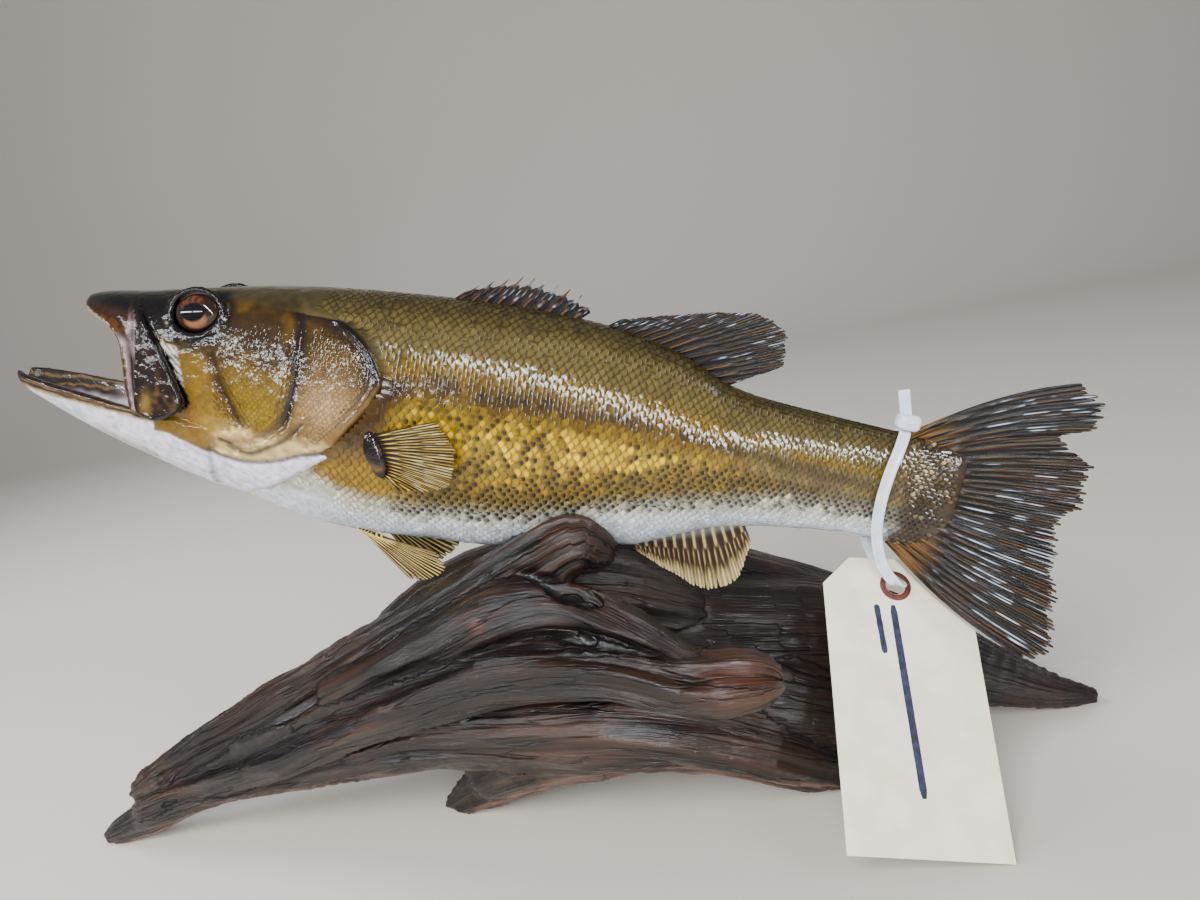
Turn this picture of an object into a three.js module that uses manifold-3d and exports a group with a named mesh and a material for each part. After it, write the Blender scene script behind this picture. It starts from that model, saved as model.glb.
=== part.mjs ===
// Largemouth bass mounted on driftwood, with a shipping tag tied round the tail.
// Millimetres, +Z up. The fish faces -X, its left side faces -Y, and the driftwood
// stands on z = 0 with the origin under the middle of the whole.
import * as THREE from 'three';
import { mergeVertices } from 'three/addons/utils/BufferGeometryUtils.js';
import Module from 'manifold-3d';

const wasm = await Module();
wasm.setup();

// ---------------------------------------------------------------- driving dimensions
// Fish frame: x runs from the tip of the snout to the tail, z towards the back and
// y to the fish's right. The fish is pitched nose up and its tail swings to the left.
const GAP = 0.3; // between touching pieces
const SNOUT = new THREE.Vector3(-268.3, 0, 304.9); // tip of the snout over the floor
const NOSE_UP = THREE.MathUtils.degToRad(21);
const SWING = { from: 150, reach: 350, tail: 56, headReach: 185, head: 6 };
const FORK_Z = -17; // middle of the tail fin
const LOBE_TWIST = 0.36; // the lower lobe of the tail fin also leans to the left

const STALK_END = 412; // where the tail fin starts
const TRUNK_CUT = 206;
const STALK_CUT = 322;
const RING_SIDES = 20;

const EYE = { x: 62, z: 4.6, radius: 9.4, dome: 5.2, cup: 3.2, depth: 18.6 };
const LIP_RADIUS = 2.4;
const MAXILLA_THICK = 3.2;
const GILL_COVER_THICK = 4;

const TAG = { wide: 71, long: 136, thick: 0.6, clip: 14, hole: 4.6, holeDown: 14, lean: 43 };
const TAG_FOOT = { left: [46.9, -110, 15.6], right: [116.1, -110, 0.6] };
const STRAP = { wide: 5.4, thick: 1.2 };
const TIE_HEAD = { long: 11, wide: 8.5, high: 7.5, tail: 13 };

// ---------------------------------------------------------------- curves and frames
// A smooth curve through [at, value] knots that never overshoots them.
function through(...knots) {
  const step = knots.slice(1).map(([at], i) => at - knots[i][0]);
  const rise = step.map((run, i) => (knots[i + 1][1] - knots[i][1]) / run);
  const slope = knots.map((knot, i) => {
    if (i === 0) return rise[0];
    if (i === rise.length) return rise[i - 1];
    return rise[i - 1] * rise[i] <= 0 ? 0 : 2 / (1 / rise[i - 1] + 1 / rise[i]);
  });
  return (at) => {
    const last = knots.length - 1;
    if (at <= knots[0][0]) return knots[0][1];
    if (at >= knots[last][0]) return knots[last][1];
    const i = knots.findIndex(([edge]) => edge >= at) - 1;
    const s = (at - knots[i][0]) / step[i];
    const bend = (slope[i] * (1 - s) - slope[i + 1] * s + rise[i] * (2 * s - 1)) * step[i];
    return knots[i][1] * (1 - s) + knots[i + 1][1] * s + s * (1 - s) * bend;
  };
}

function swing(x) {
  if (x > SWING.from) return -SWING.tail * ((x - SWING.from) / SWING.reach) ** 2;
  return -SWING.head * ((SWING.from - x) / SWING.headReach) ** 2;
}

const TAILWARD = new THREE.Vector3(Math.cos(NOSE_UP), 0, -Math.sin(NOSE_UP));
const BACKWARD = new THREE.Vector3(Math.sin(NOSE_UP), 0, Math.cos(NOSE_UP));

// From the fish frame to the frame of the part, with and without the swing of the tail.
function placeStraight([x, y, z]) {
  return new THREE.Vector3(0, y, 0)
    .add(SNOUT)
    .addScaledVector(TAILWARD, x)
    .addScaledVector(BACKWARD, z);
}
const place = ([x, y, z]) => placeStraight([x, y + swing(x), z]);

// ---------------------------------------------------------------- the fish's own shape
const back = through(
  [-4, -2], [0, 1], [10, 4.6], [28, 8], [53, 13.9], [82, 20.3], [117, 26.3], [152, 30.4],
  [190, 33.6], [220, 35], [247, 34.6], [270, 32.6], [288, 29.4], [303, 24.4], [318, 18],
  [335, 15], [368, 13.4], [416, 12.4],
);
const belly = through(
  [-4, -60], [6, -66], [38, -76.4], [64, -84], [83, -86.4], [102, -91], [129, -95.2],
  [147, -95.8], [194, -92.4], [212, -90.8], [228, -87.2], [248, -81.2], [270, -76],
  [286, -74], [300, -68], [312, -61.6], [326, -54.8], [340, -50.4], [363, -45.4],
  [396, -41], [416, -41],
);
const halfWidth = through(
  [-4, 2], [0, 5.5], [4, 10], [14, 16.6], [30, 21.4], [50, 23.6], [64, 24.8], [82, 28],
  [110, 31], [140, 32.6], [185, 32.6], [225, 30.6], [260, 27], [300, 20.5], [340, 14],
  [380, 9.6], [402, 7.4], [416, 5.2],
);
const widest = through(
  [-4, -5], [10, -6], [28, -12], [42, -22], [60, -27], [90, -31], [150, -33], [230, -30],
  [300, -24], [416, -15],
);
const upperPower = through([0, 2.2], [30, 2.7], [60, 3], [90, 2.7], [130, 2.3], [190, 2.1]);
const LOWER_POWER = 2.15;

// One section of the body in the fish frame, swollen by `swell`.
function bodyRing(x, swell = 0, sides = RING_SIDES) {
  const middle = widest(x);
  const points = [];
  for (let i = 0; i < sides; i += 1) {
    const turn = (i / sides) * 2 * Math.PI;
    const up = Math.cos(turn) > 0;
    const power = 2 / (up ? upperPower(x) : LOWER_POWER);
    const reach = (up ? back(x) - middle : middle - belly(x)) + swell;
    const across = Math.sign(Math.sin(turn)) * Math.abs(Math.sin(turn)) ** power;
    const along = Math.sign(Math.cos(turn)) * Math.abs(Math.cos(turn)) ** power;
    points.push([x, -(halfWidth(x) + swell) * across, middle + reach * along]);
  }
  return points;
}

// How far the flank stands out from the mid-plane at a height.
function flank(x, z) {
  const middle = widest(x);
  const up = z > middle;
  const power = up ? upperPower(x) : LOWER_POWER;
  const reach = up ? back(x) - middle : middle - belly(x);
  const part = Math.min(1, Math.abs(z - middle) / reach);
  return halfWidth(x) * (1 - part ** power) ** (1 / power);
}

// ---------------------------------------------------------------- making solids
// Positive when the triangles face outwards.
function signedVolume(positions, index) {
  let total = 0;
  const corner = [0, 1, 2].map(() => new THREE.Vector3());
  for (let i = 0; i < index.length; i += 3) {
    corner.forEach((point, k) => point.fromArray(positions, index[i + k] * 3));
    total += corner[0].dot(corner[1].clone().cross(corner[2]));
  }
  return total / 6;
}

// A closed skin over a row of sections, each a loop of the same number of points.
function loft(sections, closed = false) {
  const sides = sections[0].length;
  const positions = sections.flat().flatMap((point) => point.toArray());
  const index = [];
  const rows = closed ? sections.length : sections.length - 1;
  for (let row = 0; row < rows; row += 1) {
    const next = ((row + 1) % sections.length) * sides;
    for (let i = 0; i < sides; i += 1) {
      const j = (i + 1) % sides;
      const here = row * sides;
      index.push(here + i, next + i, next + j, here + i, next + j, here + j);
    }
  }
  const cap = (row, flip) => {
    const hub = positions.length / 3;
    const centre = sections[row]
      .reduce((sum, point) => sum.add(point), new THREE.Vector3())
      .divideScalar(sides);
    positions.push(...centre.toArray());
    for (let i = 0; i < sides; i += 1) {
      const a = row * sides + i;
      const b = row * sides + ((i + 1) % sides);
      index.push(hub, flip ? b : a, flip ? a : b);
    }
  };
  if (!closed) {
    cap(0, false);
    cap(sections.length - 1, true);
  }
  const geometry = new THREE.BufferGeometry();
  geometry.setAttribute('position', new THREE.Float32BufferAttribute(positions, 3));
  geometry.setIndex(index);
  return geometry;
}

function solid(geometry) {
  const bare = geometry.clone();
  bare.deleteAttribute('normal');
  bare.deleteAttribute('uv');
  const merged = mergeVertices(bare, 1e-3);
  const positions = new Float32Array(merged.attributes.position.array);
  const index = new Uint32Array(merged.index.array);
  if (signedVolume(positions, index) < 0) index.reverse();
  return new wasm.Manifold(new wasm.Mesh({ numProp: 3, vertProperties: positions, triVerts: index }));
}

function geometryOf(manifold) {
  const mesh = manifold.getMesh();
  const geometry = new THREE.BufferGeometry();
  geometry.setAttribute('position', new THREE.BufferAttribute(mesh.vertProperties, 3));
  geometry.setIndex(new THREE.BufferAttribute(mesh.triVerts, 1));
  return geometry;
}

const range = (from, to, steps) =>
  Array.from({ length: steps + 1 }, (unused, i) => from + ((to - from) * i) / steps);

function bodyLength(stations, swell = 0) {
  return solid(loft(stations.map((x) => bodyRing(x, swell).map(place))));
}

// An upright slab of the fish's side view, through the whole width.
// `outline` is a list of [x, z]; the points after the corners are joined by a spline.
const SLAB_HALF = 70;
function slab(corners, curve, grow = 0) {
  const shape = new THREE.Shape(corners.map(([x, z]) => new THREE.Vector2(x, z)));
  if (curve) shape.splineThru(curve.map(([x, z]) => new THREE.Vector2(x, z)));
  const outline = shape.extractPoints(3).shape.filter((point, i, all) =>
    point.distanceTo(all[(i + 1) % all.length]) > 0.05);
  const flat = new THREE.ExtrudeGeometry(new THREE.Shape(grown(outline, grow)), {
    depth: 2 * SLAB_HALF,
    bevelEnabled: false,
  });
  return solid(inFish(flat, (x, y, z) => [x, SLAB_HALF - z, y], placeStraight));
}

// The same outline with every side moved outwards by `by`.
function grown(points, by) {
  const turned = THREE.ShapeUtils.area(points) < 0 ? -1 : 1;
  const outward = points.map((point, i) => {
    const side = points[(i + 1) % points.length].clone().sub(point).normalize();
    return new THREE.Vector2(side.y * turned, -side.x * turned);
  });
  return points.map((point, i) => {
    const before = outward[(i + points.length - 1) % points.length];
    const mitre = by / Math.max(0.3, 1 + before.dot(outward[i]));
    return point.clone().addScaledVector(before, mitre).addScaledVector(outward[i], mitre);
  });
}

// Moves every point of a flat geometry into the fish frame, then to its place.
function inFish(geometry, toFish, put = place) {
  const position = geometry.attributes.position;
  for (let i = 0; i < position.count; i += 1) {
    const spot = toFish(position.getX(i), position.getY(i), position.getZ(i));
    position.setXYZ(i, ...put(spot).toArray());
  }
  return geometry;
}

// ---------------------------------------------------------------- head
// Side-view lines of the head, as [x, z].
const GILL_EDGE = [
  [129, -51], [137, -44], [143, -35], [149.5, -25], [154, -16], [156.4, -9.7], [151, -0.6],
  [142, 9], [126, 16], [113, 18],
];
const MOUTH_LINE = [[-9, -4.6], [14, -7.6], [24, -11], [30, -18], [33, -32], [37, -48]];
const JAW_LINE = [[57, -57.5], [80, -62], [94, -62.5], [110, -58.5], [129, -51]];
const PREOPERCLE = [[113, 18], [115, 0], [116, -12], [113.6, -31], [104, -47], [94, -54]];
const THROAT_EDGE = [[129, -51], [123, -58], [113.5, -66], [105, -72], [97, -75.4], [88, -82]];
const SLAB_TOP = 60;
const SLAB_LOW = -110;
const JAW_END = 72;

const headView = (grow) =>
  slab([[113, SLAB_TOP], [-9, SLAB_TOP], ...MOUTH_LINE, ...JAW_LINE], GILL_EDGE.slice(1), grow);
const throatView = (grow) =>
  slab([[84, SLAB_LOW], [JAW_END - 40, SLAB_LOW], [37, -48], ...JAW_LINE], THROAT_EDGE.slice(1), grow);
const gillView = (grow) =>
  slab([...PREOPERCLE, [94, -62.5], [110, -58.5], [129, -51]], GILL_EDGE.slice(1), grow);

// The open mouth: a tapering hollow between palate and floor, from the gape backwards.
const mouthTop = through([-40, -20], [0, -7], [14, -5.2], [40, -7], [62, -13], [82, -24], [106, -42]);
const mouthFloor = through(
  [-40, -43], [-33, -46.5], [-24, -50], [0, -55], [30, -62], [54, -65], [78, -62], [106, -50],
);
const mouthHalf = through(
  [-40, 2], [-31.5, 4.5], [-25, 9], [-10, 13.6], [12, 17], [40, 19.6], [62, 18.6], [82, 14], [106, 4],
);
function superRing(x, half, low, high, power, sides, y = 0) {
  return range(0, 2 * Math.PI, sides).slice(0, sides).map((turn) => {
    const c = Math.cos(turn);
    const s = Math.sin(turn);
    return [
      x,
      y - half * Math.sign(s) * Math.abs(s) ** (2 / power),
      (low + high) / 2 + ((high - low) / 2) * Math.sign(c) * Math.abs(c) ** (2 / power),
    ];
  });
}
const mouth = solid(loft([-40, -33, -26, -12, 8, 34, 62, 86, 106].map((x) =>
  superRing(x, mouthHalf(x), mouthFloor(x), mouthTop(x), 2.5, 12).map(place))));

// Lower jaw: a scoop, flat along its rim and rounded below.
const jawHalf = through(
  [-33, 2.5], [-30, 8], [-23, 12.6], [-8, 17], [12, 20.4], [36, 22.6], [74, 25.4],
);
const jawRim = through([-33, -42.4], [-18, -43.4], [10, -45.4], [36, -47.6], [74, -50]);
const jawLow = through([-33, -46], [-30, -49.6], [-14, -56.8], [6, -64.8], [38, -75.4], [74, -84.8]);
const JAW_SIDES = 13;
function jawRing(x, swell = 0) {
  return range(0, Math.PI, JAW_SIDES - 1).map((turn) => {
    const reach = jawRim(x) - jawLow(x) + swell;
    const across = Math.cos(turn);
    return [
      x,
      -(jawHalf(x) + swell) * Math.sign(across) * Math.abs(across) ** 0.86,
      jawRim(x) - reach * Math.sin(turn) ** 0.86,
    ];
  });
}
const JAW_STATIONS = [-33, -30.6, -25, -14, 2, 20, 42, JAW_END - GAP];
const jawBlock = (swell) =>
  solid(loft(JAW_STATIONS.map((x) => jawRing(x, swell).map(place))));

// Upper lip: a round bead along the front of the upper jaw, down both corners.
const LIP_LINE = [
  [37, 24.6, -46.5], [34.4, 25, -36], [32.4, 24.6, -25], [29.4, 22.8, -15], [22.5, 19.4, -8.8],
  [13, 14.8, -5.4], [5.6, 9, -3.4],
];
function lip(radius) {
  const line = [
    ...LIP_LINE.map(([x, y, z]) => [x, -y, z]),
    [2.8, 0, -2.4],
    ...LIP_LINE.slice().reverse(),
  ];
  const path = new THREE.CatmullRomCurve3(line.map(place), false, 'centripetal');
  const circle = new THREE.Shape().absarc(0, 0, radius, 0, 2 * Math.PI);
  return solid(new THREE.ExtrudeGeometry(circle, {
    steps: 18,
    curveSegments: 2,
    extrudePath: path,
    bevelEnabled: false,
  }));
}

// Maxilla: a paddle that hangs from the snout over the corner of the mouth.
const MAXILLA_FRONT = [
  [31.6, 6.4], [34.6, 0], [36.6, -13], [38, -34], [40, -46.6], [47, -50], [57, -46], [62.4, -39],
];
const MAXILLA_BACK = [[58.6, -31], [50, -17], [44, -9], [38, -1], [31.6, 6.4]];
const MAXILLA_FLARE = 2.2;
function maxilla(side) {
  const shape = new THREE.Shape();
  shape.moveTo(...MAXILLA_FRONT[0]);
  shape.splineThru(MAXILLA_FRONT.slice(1).map(([x, z]) => new THREE.Vector2(x, z)));
  shape.splineThru(MAXILLA_BACK.map(([x, z]) => new THREE.Vector2(x, z)));
  const plate = new THREE.ExtrudeGeometry(new THREE.Shape(shape.extractPoints(2).shape), {
    depth: MAXILLA_THICK,
    bevelEnabled: false,
  });
  const drop = through([-50, MAXILLA_FLARE], [8, 0]);
  return solid(inFish(plate, (x, z, out) =>
    [x, side * (flank(x, Math.max(z, widest(x))) + drop(z) + GAP + out), z]));
}

// The eye: a glass dome on a short cup, looking sideways and a little forwards and up.
const EYE_TILT = { forward: 0.14, up: 0.1 };
function eyeSolid(side, swell = 0) {
  const radius = EYE.radius + swell;
  const dome = range(0, Math.PI / 2, 4).map((turn) =>
    new THREE.Vector2(radius * Math.sin(turn), (EYE.dome + swell) * Math.cos(turn)));
  dome[0].x = 0;
  const outline = [
    new THREE.Vector2(0, -EYE.cup - swell),
    new THREE.Vector2(radius, -EYE.cup - swell),
    ...dome.reverse(),
  ];
  const ball = new THREE.LatheGeometry(outline, 14);
  const out = new THREE.Vector3(-EYE_TILT.forward, side, EYE_TILT.up).normalize();
  ball.applyQuaternion(new THREE.Quaternion().setFromUnitVectors(new THREE.Vector3(0, 1, 0), out));
  return solid(inFish(ball, (x, y, z) => [EYE.x + x, side * EYE.depth + y, EYE.z + z]));
}

const HEAD_STATIONS = [0, 3, 8, 18, 32, 50, 70, 92, 114, 136, 158];
const headLoft = (swell) =>
  solid(loft(HEAD_STATIONS.map((x) => bodyRing(x, swell).map(place))));
const headBlock = headLoft(0).intersect(headView(0)).subtract(mouth).subtract(lip(LIP_RADIUS + GAP));
const insideCovers = headLoft(-GILL_COVER_THICK);
const coverRing = headLoft(0.01).intersect(headView(0)).intersect(gillView(-GAP / 2))
  .subtract(insideCovers);
const coverRoom = gillView(GAP / 2).subtract(headLoft(-GILL_COVER_THICK - GAP));
const halfSpace = (side) => slab([[-60, SLAB_LOW], [560, SLAB_LOW], [560, 90], [-60, 90]])
  .translate([0, side * (SLAB_HALF + GAP), 0]);
const gillCover = (side) => coverRing.intersect(halfSpace(side));

const lowerJaw = jawBlock(0).subtract(headView(GAP)).subtract(mouth).subtract(lip(LIP_RADIUS + GAP));
const head = headBlock.subtract(coverRoom).subtract(eyeSolid(-1, GAP)).subtract(eyeSolid(1, GAP));
const besideMaxilla = headLoft(GAP).intersect(headView(GAP))
  .add(lip(LIP_RADIUS + GAP)).add(jawBlock(GAP));
const behindJaw = slab([[JAW_END, SLAB_LOW], [200, SLAB_LOW], [200, SLAB_TOP], [JAW_END, SLAB_TOP]]);
const throat = headLoft(-0.6).intersect(throatView(-GAP)).intersect(behindJaw).subtract(mouth);

// ---------------------------------------------------------------- trunk
const frontStations = range(84, TRUNK_CUT - GAP / 2, 6);
const rearStations = range(TRUNK_CUT + GAP / 2, STALK_CUT - GAP / 2, 7);
const stalkStations = range(STALK_CUT + GAP / 2, STALK_END, 5);
const wholeBody = bodyLength([...frontStations, ...rearStations, ...stalkStations], GAP);
const trunkFront = bodyLength(frontStations)
  .subtract(headView(GAP)).subtract(throatView(GAP / 2)).subtract(mouth);
const trunkRear = bodyLength(rearStations);
const tailStalk = bodyLength(stalkStations);

// ---------------------------------------------------------------- fins
// A fin is a fan of rays. Each ray runs from root(u) to tip(u), u = 0..1 along the fin,
// and the membrane between two rays is thinner and ends short of their tips.
function fin({ rays, root, tip, rise, bow, thick, across, rows = 3, notch = 0.12 }) {
  const strips = range(0, 1, 2 * (rays - 1)).map((u, k) => {
    const ray = k % 2 === 0;
    const reach = ray ? 1 : 1 - notch;
    const from = new THREE.Vector3(...root(u));
    const to = new THREE.Vector3(...tip(u));
    const sides = [1, -1].map((side) => range(0, 1, rows).map((s) => {
      const spot = from.clone().lerp(to, s * reach);
      if (bow) spot.add(new THREE.Vector3(...bow(u, s * reach)));
      const half = (thick(s) * (ray ? 1 : 0.6)) / 2;
      return spot.addScaledVector(across(u), side * Math.max(half, 0.28));
    }));
    return [...sides[0], ...sides[1].reverse()].map((spot) => place(spot.toArray()));
  });
  return solid(loft(strips, rise));
}
const SIDEWAYS = new THREE.Vector3(0, 1, 0);
const mix = (a, b, u) => a + (b - a) * u;

const spinyTipX = through([0, 180], [0.25, 202], [0.6, 224], [1, 245]);
const spinyTipZ = through([0, 38], [0.2, 46], [0.5, 50.5], [0.75, 48], [1, 41]);
const spinyDorsal = fin({
  rays: 10,
  root: (u) => [mix(178, 245, u), 0, back(mix(178, 245, u)) - 1.5],
  tip: (u) => [spinyTipX(u), 0, spinyTipZ(u)],
  thick: (s) => mix(2.2, 0.8, s),
  across: () => SIDEWAYS,
  rows: 1,
  notch: 0.34,
});

const softTipX = through([0, 262], [0.2, 292], [0.45, 322], [0.7, 342], [0.88, 342], [1, 326]);
const softTipZ = through([0, 38.5], [0.2, 47], [0.45, 53.4], [0.7, 45], [0.88, 33], [1, 21.5]);
const softDorsal = fin({
  rays: 9,
  root: (u) => [mix(254, 318, u), 0, back(mix(254, 318, u)) - 1.5],
  tip: (u) => [softTipX(u), 0, softTipZ(u)],
  thick: (s) => mix(2, 0.7, s),
  across: () => SIDEWAYS,
  notch: 0.1,
});

const analTipX = through([0, 292], [0.3, 311], [0.6, 332], [0.8, 345], [1, 347]);
const analTipZ = through([0, -77], [0.3, -84], [0.6, -89], [0.8, -78], [1, -58]);
const analFin = fin({
  rays: 9,
  root: (u) => [mix(288, 341, u), 0, belly(mix(288, 341, u)) + 1.5],
  tip: (u) => [analTipX(u), 0, analTipZ(u)],
  thick: (s) => mix(2, 0.7, s),
  across: () => SIDEWAYS,
  notch: 0.07,
});

const tailTipX = through(
  [0, 468], [0.07, 476], [0.15, 476], [0.2, 466], [0.27, 481], [0.4, 482], [0.5, 475],
  [0.63, 475], [0.76, 479], [0.94, 478.5], [1, 469],
);
const tailTipZ = through([0, 53.5], [0.5, -12], [1, -73]);
const tailFin = fin({
  rays: 14,
  root: (u) => [STALK_END + GAP - 10 * (2 * u - 1) ** 2 * (u > 0.5 ? 0.3 : 0.8), 0, mix(11.6, -41, u)],
  tip: (u) => [tailTipX(u), 0, tailTipZ(u)],
  bow: (u, s) => {
    const z = mix(mix(11.6, -41, u), tailTipZ(u), s);
    const lean = z < FORK_Z ? LOBE_TWIST * (z - FORK_Z) * s : 0;
    return [0, lean, 9 * (0.5 - u) * Math.sin(Math.PI * s)];
  },
  thick: (s) => 0.8 + 6.4 * Math.exp(-9 * s),
  across: () => SIDEWAYS,
  rows: 3,
  notch: 0.09,
}).subtract(wholeBody);

// Paired fins lean out from the body; `side` is -1 for the left and 1 for the right.
const pectoralFin = (side) => fin({
  rays: 7,
  root: (u) => [mix(150.5, 162.5, u), side * (mix(31.5, 29, u)), mix(-35, -57, u)],
  tip: (u) => [
    through([0, 184], [0.25, 193], [0.6, 197], [0.85, 186], [1, 172])(u),
    side * mix(43, 41, u),
    through([0, -24], [0.25, -33], [0.6, -51], [0.85, -55.5], [1, -55.5])(u),
  ],
  thick: (s) => 0.8 + 4 * (1 - s) ** 6,
  across: () => new THREE.Vector3(-0.45 * side, 0.88, 0).normalize(),
  rows: 2,
  notch: 0.1,
}).subtract(wholeBody);

const pelvicFin = (side) => fin({
  rays: 7,
  root: (u) => [mix(158, 149, u), side * mix(10, 15, u), mix(-93, -91, u)],
  tip: (u) => [
    through([0, 179], [0.3, 191], [0.7, 197], [1, 191])(u),
    side * through([0, 9], [0.5, 17], [1, 27])(u),
    through([0, -117], [0.3, -112], [0.7, -100], [1, -90])(u),
  ],
  thick: (s) => 0.8 + 2.2 * (1 - s) ** 4,
  across: () => new THREE.Vector3(0, 0.72 * side, -0.69).normalize(),
  rows: 2,
  notch: 0.08,
}).subtract(wholeBody);

// ---------------------------------------------------------------- driftwood
// A limb of wood: oval sections [x, y, z, half breadth, half height] along a smooth line,
// with a few flutes round it. Limbs are joined into one piece and cut flat on the floor.
const LIMB_SIDES = 9;
function limb(knots, flutes = 0.07) {
  const line = new THREE.CatmullRomCurve3(
    knots.map(([x, y, z]) => new THREE.Vector3(x, y, z)), false, 'centripetal');
  const last = knots.length - 1;
  const breadth = through(...knots.map((knot, i) => [i / last, knot[3]]));
  const height = through(...knots.map((knot, i) => [i / last, knot[4]]));
  const sections = range(0, 1, Math.max(last, 6)).map((t) => {
    const centre = line.getPoint(t);
    const ahead = line.getTangent(t);
    const aside = ahead.clone().cross(new THREE.Vector3(0, 0, 1)).normalize();
    const above = aside.clone().cross(ahead);
    return range(0, 2 * Math.PI, LIMB_SIDES).slice(0, LIMB_SIDES).map((turn) => {
      const flute = 1 + flutes * Math.sin(3 * turn + 4 * t) * Math.sin(Math.PI * t);
      return centre.clone()
        .addScaledVector(aside, breadth(t) * Math.cos(turn) * flute)
        .addScaledVector(above, height(t) * Math.sin(turn) * flute);
    });
  });
  return solid(loft(sections));
}
const LIMBS = {
  log: [
    [-331, 2, 22, 6, 9], [-300, 2, 34, 13, 16], [-260, 4, 44, 22, 23], [-212, 6, 55, 30, 32],
    [-162, 8, 66, 38, 41], [-110, 10, 72, 44, 50], [-58, 12, 70, 48, 52], [-8, 14, 58, 48, 44],
    [42, 15, 50, 44, 40], [86, 16, 42, 36, 34], [122, 13, 31, 25, 26], [156, 7, 18, 16, 15],
    [184, 1, 8, 9, 8], [203, -1, 3, 3, 4],
  ],
  crest: [
    [-328, -3, 30, 7, 8], [-279, -8, 54, 9, 10], [-215, -14, 80, 11, 12], [-150, -18, 106, 13, 13],
    [-104, -22, 124, 14, 15], [-70, -28, 140, 15, 16], [-50, -30, 147, 12, 13], [-39, -28, 138, 6, 9],
  ],
  brow: [
    [-328, -5, 22, 8, 8], [-261, -18, 43, 11, 12], [-190, -34, 70, 13, 13], [-134, -48, 87, 13, 15],
    [-85, -60, 97, 14, 15], [-42, -68, 95, 14, 14], [-7, -73, 83, 14, 13], [16, -75, 79, 11, 11],
    [24, -75, 77, 5, 6],
  ],
  fold: [[-188, -28, 84, 10, 11], [-120, -42, 110, 13, 13], [-67, -46, 119, 13, 13],
    [-28, -44, 104, 12, 12], [8, -36, 78, 9, 10]],
  skirt: [
    [-277, -14, 32, 9, 9], [-207, -22, 44, 12, 12], [-140, -34, 56, 15, 17], [-86, -44, 56, 18, 19],
    [-36, -48, 52, 19, 20], [12, -46, 34, 18, 17], [54, -40, 9, 12, 11], [66, -37, 3, 6, 6],
  ],
  toe: [[-146, -17, 2, 5, 5], [-126, -23, 14, 9, 12], [-84, -35, 31, 12, 14], [-36, -45, 42, 10, 14]],
  finger: [[-286, -6, 27, 11, 10], [-322, -5, 15, 8.5, 8], [-350, -3, 5, 6, 6], [-358, -3, 2.4, 3.5, 4]],
  ridge: [
    [-206, 38, 60, 8, 10], [-176, 46, 80, 14, 16], [-124, 50, 96, 19, 26], [-60, 48, 98, 23, 28],
    [0, 40, 86, 24, 25], [52, 35, 72, 20, 20], [92, 28, 54, 15, 18], [118, 20, 40, 9, 10],
  ],
  root: [[-30, -18, 50, 26, 30], [20, -24, 44, 26, 28], [60, -24, 30, 22, 22], [104, -8, 12, 12, 12]],
  rearFoot: [[-112, 50, 62, 20, 22], [-134, 62, 30, 17, 18], [-148, 68, 3, 13, 9]],
  heel: [[36, 44, 42, 20, 22], [66, 54, 20, 17, 15], [86, 60, 3, 12, 7]],
};
const underFloor = solid(new THREE.BoxGeometry(900, 400, 100).translate(0, 0, -50));
const driftwood = Object.values(LIMBS)
  .map((knots) => limb(knots))
  .reduce((sum, next) => sum.add(next))
  .subtract(underFloor)
  .subtract(wholeBody)
  .subtract(analFin.translate([0, 0.4, -0.4]))
  .subtract(pelvicFin(-1).translate([0, 0, -0.4]));

// ---------------------------------------------------------------- tie and tag
const STRAP_LINE = [
  [402, 0, 13.8], [399.5, 8.4, 8], [397, 11.6, -6], [396.5, 12.6, -22], [399, 12.2, -37],
  [405.5, 10.6, -50], [414.5, 6.6, -58],
];
function strap(swell = 0) {
  const far = STRAP_LINE.slice(1);
  const near = far.map(([x, y, z]) => [x, -y, z]).reverse();
  const line = [STRAP_LINE[0], ...far, [419, -0.6, -59], ...near].map(place);
  const path = new THREE.CatmullRomCurve3(line, true, 'centripetal');
  const steps = 32;
  const sections = range(0, 1, steps).slice(0, steps).map((t) => {
    const spot = path.getPoint(t);
    const ahead = path.getTangent(t);
    const out = TAILWARD.clone().cross(ahead).normalize();
    const wide = ahead.clone().cross(out);
    return [[1, 1], [-1, 1], [-1, -1], [1, -1]].map(([a, b]) => spot.clone()
      .addScaledVector(wide, a * (STRAP.wide / 2 + swell))
      .addScaledVector(out, b * (STRAP.thick / 2 + swell)));
  });
  return solid(loft(sections, true));
}

// The lock of the tie sits on the strap over the back, its cut tail standing up from it.
function roundedBox(long, wide, high, corner) {
  const half = [long / 2 - corner, wide / 2 - corner];
  const shape = new THREE.Shape();
  shape.absarc(half[0], half[1], corner, 0, Math.PI / 2);
  shape.absarc(-half[0], half[1], corner, Math.PI / 2, Math.PI);
  shape.absarc(-half[0], -half[1], corner, Math.PI, 1.5 * Math.PI);
  shape.absarc(half[0], -half[1], corner, 1.5 * Math.PI, 2 * Math.PI);
  return new THREE.ExtrudeGeometry(shape, { depth: high, bevelEnabled: false, curveSegments: 3 });
}
function tieHead() {
  const lock = solid(roundedBox(TIE_HEAD.long, TIE_HEAD.wide, TIE_HEAD.high, 2.2));
  const end = solid(new THREE.BoxGeometry(STRAP.wide, STRAP.thick, TIE_HEAD.tail)
    .rotateY(-0.35).translate(-2.4, 0, TIE_HEAD.high + TIE_HEAD.tail / 2 - 2));
  const [x, y, z] = [402, -1.5, STRAP_LINE[0][2] + STRAP.thick / 2 + GAP];
  const spot = place([x, y, z]);
  return lock.add(end).rotate([0, THREE.MathUtils.radToDeg(NOSE_UP), 0]).translate(spot.toArray());
}

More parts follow.
